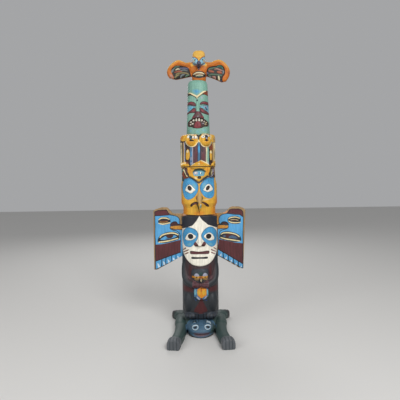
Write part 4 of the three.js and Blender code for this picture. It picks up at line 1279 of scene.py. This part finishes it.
def spread_wings():
    """Rings along both wings from tip to tip. The section is a rounded rectangle between the lower and
    the upper edge at each x."""
    high = {
        -1: [(0, 1744), (52, 1738), (82, 1736), (104, 1742), (128, 1752), (146, 1750), (166, 1736),
             (186, 1718), (206, 1684)],
        1: [(0, 1744), (52, 1740), (82, 1738), (107, 1748), (130, 1752), (148, 1746), (166, 1732),
            (186, 1714), (204, 1680)],
    }
    reach = np.linspace(0, 1, 80)[1:]
    x = 206 * np.concatenate([-reach[::-1], [0], reach])
    top = np.empty_like(x)
    bottom = np.empty_like(x)
    for side in SIDES:
        drop = BIRD_WING_DROP[side]
        low = [(0, 1650), (46, 1648), (100, 1630 if side > 0 else 1637), (150, drop), (180, drop + 6),
               (198, 1655), (206, 1680)]
        here = np.sign(x) == side if side < 0 else x >= 0
        top[here] = np.interp(np.abs(x[here]), *rounded(high[side], closed=False).T)
        bottom[here] = np.interp(np.abs(x[here]), *np.array(low).T)
    angle = np.linspace(0, 2 * np.pi, 40, endpoint=False)[None, :]
    y = np.sign(np.cos(angle)) * np.abs(np.cos(angle)) ** 0.5
    z = np.sign(np.sin(angle)) * np.abs(np.sin(angle)) ** 0.5
    middle, tall = (top + bottom)[:, None] / 2, (top - bottom)[:, None] / 2
    deep = WING_HALF_DEPTH * np.clip((212 - np.abs(x)) / 22, 0.4, 1)[:, None] ** 0.5
    return np.stack([x[:, None] + BIRD_MIDDLE + 0 * angle, WING_MIDDLE_Y + deep * y, middle + tall * z], 2)


def limb(levels, count=28):
    """Rings round a line in an upright plane. Each level is x, z, half width and half depth, and the
    section is an ellipse that stands square to the line."""
    level = rounded(levels, closed=False, steps=6)
    way = np.gradient(level[:, :2], axis=0)
    way /= np.hypot(*way.T)[:, None]
    angle = np.linspace(0, 2 * np.pi, count, endpoint=False)
    x, z, half, deep = (level[:, i, None] for i in range(4))
    across = half * np.cos(angle)
    return np.stack([BIRD_MIDDLE + x - way[:, 1, None] * across, WING_MIDDLE_Y + deep * np.sin(angle),
                     z + way[:, 0, None] * across], 2)


def stacked(levels, squareness=2.4, count=36):
    """Rings up through levels of z, half width, and y of the front and of the back."""
    level = rounded(levels, closed=False, steps=5)
    z, half, front, back = (level[:, i, None] for i in range(4))
    angle = np.linspace(0, 2 * np.pi, count, endpoint=False)[None, :]
    across = np.sign(np.cos(angle)) * np.abs(np.cos(angle)) ** (2 / squareness)
    along = np.sign(np.sin(angle)) * np.abs(np.sin(angle)) ** (2 / squareness)
    return np.stack([BIRD_MIDDLE + half * across, (front + back) / 2 + (back - front) / 2 * along,
                     z + 0 * angle], 2)


left_limb = [(-30, 1716, 22, 30), (-56, 1720, 21, 28), (-88, 1720, 18, 27), (-112, 1729, 20, 28),
             (-136, 1735, 21, 28), (-160, 1724, 20, 28), (-180, 1706, 19, 27), (-194, 1686, 17, 25),
             (-194, 1662, 15, 23), (-183, 1642, 12, 20)]
right_limb = [(30, 1716, 22, 30), (56, 1719, 21, 28), (88, 1720, 20, 27), (112, 1731, 21, 28),
              (136, 1735, 20, 28), (158, 1721, 20, 28), (177, 1702, 18, 27), (187, 1682, 17, 25),
              (188, 1656, 15, 23), (178, 1632, 13, 20), (170, 1616, 9, 18)]
bird_shells = [
    spread_wings(),
    limb(left_limb),
    limb(right_limb),
    stacked([(bird_low[2], 44, -44, 36), (1636, 47, -52, 38), (1664, 49, -50, 40), (1696, 56, -46, 38),
             (1728, 54, -40, 34), (1744, 38, -28, 28)]),
    stacked([(1698, 7, -84, -50), (1708, 17, -88, -30), (1724, 32, -84, 5), (1742, 40, -77, 22),
             (1766, 41.5, -68, 28), (1792, 41, -58, 28), (1804, 36, -50, 22), (bird_high[2], 26, -38, 10)],
            2.8),
    stacked([(1692, 3, -98, -76), (1701, 7, -110, -64), (1716, 9, -106, -50), (1734, 9, -94, -50),
             (1756, 6, -80, -50)]),
    ball(BIRD_MIDDLE - 27, -30, 1692, 34, 21, 34),
    ball(BIRD_MIDDLE + 27, -30, 1692, 34, 21, 34),
]
bird, bird_points = fused("thunderbird_carving", bird_shells, 1.6, 3)
place(bird, bird_points)
bird_normals = read(bird, "vertex_normals", "vector")
x, y, z = bird_points.T
x = x - BIRD_MIDDLE
wing_front = (bird_normals[:, 1] < -0.1) & (y > -64) & (y < -8) & (np.abs(x) > 42)
spread = Carving(x, z, wing_front, BIRD_PAINTS)
# Painted highlight: a soft yellow gleam along the top of each wing's leading edge, where the light falls.
lit_crests = (
    [(-50, 1732), (-82, 1734), (-106, 1742), (-134, 1750), (-162, 1738), (-184, 1720), (-204, 1702),
     (-208, 1684)],
    [(50, 1734), (82, 1736), (106, 1746), (132, 1750), (160, 1738), (184, 1712), (200, 1692), (202, 1676)],
)
for crest in lit_crests:
    spread.paint("yellow", rounded(crest, closed=False), (1, 4, 6, 4, 1), soft=0.06)
spread.paint("pink", oval(-181, 1644, 9, 16, 20), soft=0.08)
spread.paint("rust", oval(196, 1664, 8, 18), soft=0.07, grow=-2)
left_field = rounded([(-180, 1688), (-170, 1702), (-152, 1714), (-128, 1716), (-104, 1711), (-78, 1704),
                      (-64, 1690), (-56, 1662), (-52, 1640), (-52, 1612), (-164, 1612), (-164, 1640),
                      (-174, 1660)], steps=3)
right_field = rounded([(54, 1684), (66, 1701), (88, 1707), (115, 1712), (135, 1716), (156, 1708),
                       (168, 1692), (172, 1672), (168, 1652), (157, 1640), (152, 1620), (152, 1590),
                       (48, 1590), (50, 1650)], steps=3)
for field in (left_field, right_field):
    spread.carve(field, -6, 7)
    spread.paint("rust", field, grow=2, soft=0.3)
    spread.paint("brown", field)
strokes = (
    ("green", [(-162, 1698), (-154, 1709), (-130, 1712)], (3, 4.5, 3)),
    ("grey", [(-166, 1696), (-172, 1686), (-178, 1674)], (3, 6, 5)),
    ("cream", [(-152, 1689), (-138, 1696), (-126, 1693)], (2.5, 4, 2.5)),
    ("slate", [(-124, 1698), (-96, 1699), (-72, 1694)], (4.5, 6.5, 4.5)),
    ("grey", [(-120, 1684), (-98, 1687), (-78, 1682)], (2.5, 4, 2.5)),
    ("rust", [(-158, 1674), (-134, 1680), (-114, 1678)], (4, 5.5, 3)),
    ("ochre", [(-152, 1656), (-142, 1665), (-114, 1669), (-84, 1666), (-70, 1660)], (3, 4.5, 4, 3)),
    ("ochre", [(-158, 1640), (-144, 1652), (-132, 1656)], (4, 5, 3)),
    ("grey", [(-122, 1638), (-114, 1652), (-98, 1658)], (4, 4.5, 3)),
    ("green", [(-90, 1642), (-78, 1652), (-66, 1654)], (5, 5, 3)),
    ("green", [(63, 1684), (72, 1693), (93, 1698), (113, 1701)], (3.5, 5, 4, 2.5)),
    ("teal", [(117, 1700), (126, 1708), (139, 1711), (152, 1704), (156, 1692)], (3, 4, 5, 5, 3)),
    ("pink", [(104, 1690), (118, 1693), (134, 1688), (152, 1681)], (2.5, 4, 3.5, 3)),
    ("rust", [(66, 1680), (80, 1677), (95, 1673)], (5, 7.5, 5)),
    ("rust", [(124, 1673), (136, 1670), (146, 1666)], (6, 9, 6)),
    ("slate", [(54, 1668), (60, 1660)], (4, 3)),
    ("green", [(64, 1650), (82, 1656), (114, 1655), (147, 1648)], (2.5, 5, 4, 4)),
    ("grey", [(158, 1682), (162, 1672), (158, 1660)], (3, 4, 3)),
    ("grey", [(60, 1641), (76, 1642), (84, 1636)], (3, 4, 3)),
    ("pink", [(90, 1641), (104, 1638), (106, 1626)], (3.5, 6, 4)),
    ("cream", [(129, 1642), (131, 1630), (133, 1620)], (4.5, 5.5, 4)),
    ("slate", [(136, 1614), (148, 1612)], (4.5, 4)),
)
for colour, line, wide in strokes:
    stroke = rounded(line, closed=False)
    spread.paint(colour, stroke, wide, soft=0.22)
    spread.carve(stroke, 1.5, 3, half=max(wide) - 1)
for cut_x, low in ((-128, 1626), (-94, 1632), (84, 1628), (118, 1616), (146, 1602)):
    cut = np.array([(cut_x, low - 10), (cut_x * 0.99, low + 18)])
    spread.carve(cut, -4, 4, half=2.5)
    spread.paint("black", cut, 1.8, soft=0.6)

breast = Carving(x, z, (bird_normals[:, 1] < 0.1) & (y <= -26) & (np.abs(x) < 54), BIRD_PAINTS,
                 spread.fields)
# Painted highlights on the two swelling lobes of the breast.
breast.paint("yellow", oval(-40, 1718, 16, 10, 30), soft=0.08)
breast.paint("yellow", oval(40, 1718, 16, 10, -30), soft=0.08)
breast.paint("rust", sweep((-16, 1708), (-6, 1692), (0, 1678), (7, 1692), (16, 1708)), 3, soft=0.2)
# Painted shadow of the beak: a dark V filled in on the breast beneath it.
breast.paint("brown", rounded([(-9, 1702), (-5, 1690), (0, 1680), (5, 1690), (9, 1702)]), soft=0.5)
belly = rounded([(-45, 1648), (-38, 1661), (-20, 1671), (0, 1674), (22, 1671), (38, 1662), (45, 1650),
                 (36, 1636), (0, 1628), (-34, 1636)])
breast.carve(belly, -3, 5)
breast.paint("rust", belly, grow=2, soft=0.3)
breast.paint("black", belly)
breast.paint("rust", oval(0, 1655, 30, 4), soft=0.4)
upper_bar = sweep((-35, 1655), (-18, 1663), (0, 1665), (18, 1663), (33, 1657))
breast.paint("cream", upper_bar, (3.5, 4.5, 4.5, 3.5))
breast.carve(upper_bar, 3, 4, half=4)
breast.paint("ochre", sweep((-26, 1651), (0, 1656), (26, 1652)), 1.8, soft=0.4)
lower_bar = sweep((-20, 1643), (0, 1648), (25, 1644))
breast.paint("cream", lower_bar, (2.5, 3.4, 2.5))
breast.carve(lower_bar, 3, 4, half=3)
breast.paint("green", oval(2, 1640, 12, 3), soft=0.3)

head = Carving(x, z, (y < -34) & (z > 1686), BIRD_PAINTS, spread.fields)
head.paint("yellow", rounded([(-60, 1776), (0, 1770), (60, 1776), (60, 1830), (-60, 1830)]), soft=0.06,
           grow=6)
head.paint("yellow", rounded([(-30, 1776), (-12, 1756), (-5, 1738), (0, 1726), (6, 1738), (14, 1756),
                              (30, 1776)]), soft=0.3)
eye_patches = (
    rounded([(-46, 1768), (-36, 1764), (-22, 1756), (-9, 1743), (-3, 1727), (-8, 1714), (-22, 1711),
             (-40, 1722)], steps=4),
    rounded([(46, 1770), (38, 1766), (24, 1757), (11, 1743), (6, 1727), (10, 1714), (24, 1711), (42, 1724)],
            steps=4),
)
for side, patch in zip(SIDES, eye_patches):
    head.carve(patch, -2.5, 5)
    head.paint("blue", patch)
    head.paint("slate", patch[:14], 1.8, soft=0.5)
    head.carve(oval(side * 24, 1738, 11, 9), 3.5, 7)
    head.paint("cream", oval(side * 32, 1738, 6, 8), soft=0.2)
    head.paint("black", oval(side * 25, 1740, 5.5, 5), soft=0.6)
    head.paint("teal", oval(side * 25, 1741, 2.5, 2.5), soft=0.5)
head.paint("grey", sweep((-38, 1726), (-22, 1714), (-10, 1708)), 2.5, soft=0.3)
head.paint("grey", sweep((38, 1728), (24, 1714), (12, 1708)), 2.5, soft=0.3)
head.paint("slate", rounded([(-14, 1722), (0, 1728), (15, 1722), (12, 1704), (0, 1688), (-12, 1704)]),
           soft=0.7)
# Painted shadow: a dark spot under the beak's tip.
head.paint("black", oval(0, 1700, 7, 7), soft=0.12)
bird_lift = spread.lift + breast.lift + head.lift
bird_points = bird_points - bird_lift[:, None] * np.array([0, 1, 0])
bird_relief = standing(bird, bird_points)
bird_wood = painted_wood("bird_painted_cedar", BIRD_PAINTS, along=0, worn=0.6)
finish(bird, spread, bird_relief, bird_wood, "root", "thunderbird")

# ---- Floor, light and camera ---------------------------------------------------------------------
# A wide pale floor under soft lamps, and a camera level with the pale mask's hair.

floor_mesh = bpy.data.meshes.new("floor")
floor_mesh.from_pydata([(-9, -9, 0), (9, -9, 0), (9, 9, 0), (-9, 9, 0)], [], [(0, 1, 2, 3)])
floor = bpy.data.objects.new("floor", floor_mesh)
bpy.context.scene.collection.objects.link(floor)
pale = bpy.data.materials.new("pale_floor")
pale.use_nodes = True
pale.node_tree.nodes["Principled BSDF"].inputs["Base Color"].default_value = (0.62, 0.61, 0.59, 1)
pale.node_tree.nodes["Principled BSDF"].inputs["Roughness"].default_value = 0.9
floor_mesh.materials.append(pale)


def lamp(name, place_, target, size, power_):
    """A square soft lamp at a place, turned to a target."""
    light = bpy.data.lights.new(name, "AREA")
    light.size, light.energy = size, power_
    thing = bpy.data.objects.new(name, light)
    thing.location = place_
    way = np.array(target) - np.array(place_)
    flat = math.hypot(way[0], way[1])
    thing.rotation_euler = (math.atan2(flat, -way[2]), 0, math.atan2(-way[0], way[1]))
    bpy.context.scene.collection.objects.link(thing)


lamp("key", (1.3, -3.0, 2.9), (0, 0, 1.0), 1.6, 95)
lamp("fill", (-2.4, -2.6, 1.9), (0, 0, 1.0), 2.0, 40)
lamp("back", (-0.6, 3.0, 2.8), (0, 0, 0.9), 2.0, 40)
world = bpy.data.worlds.new("studio")
world.use_nodes = True
world.node_tree.nodes["Background"].inputs["Color"].default_value = (0.93, 0.94, 0.96, 1)
world.node_tree.nodes["Background"].inputs["Strength"].default_value = 0.4
bpy.context.scene.world = world
bpy.context.scene.view_settings.view_transform = "Standard"

camera_data = bpy.data.cameras.new("camera")
camera_data.lens, camera_data.sensor_width = 36, 36
camera_data.shift_y = -0.0625
camera = bpy.data.objects.new("camera", camera_data)
camera.location = (0.0075, -2.661, 0.995)
camera.rotation_euler = (math.radians(90), math.radians(0.815), 0)
bpy.context.scene.collection.objects.link(camera)
bpy.context.scene.camera = camera
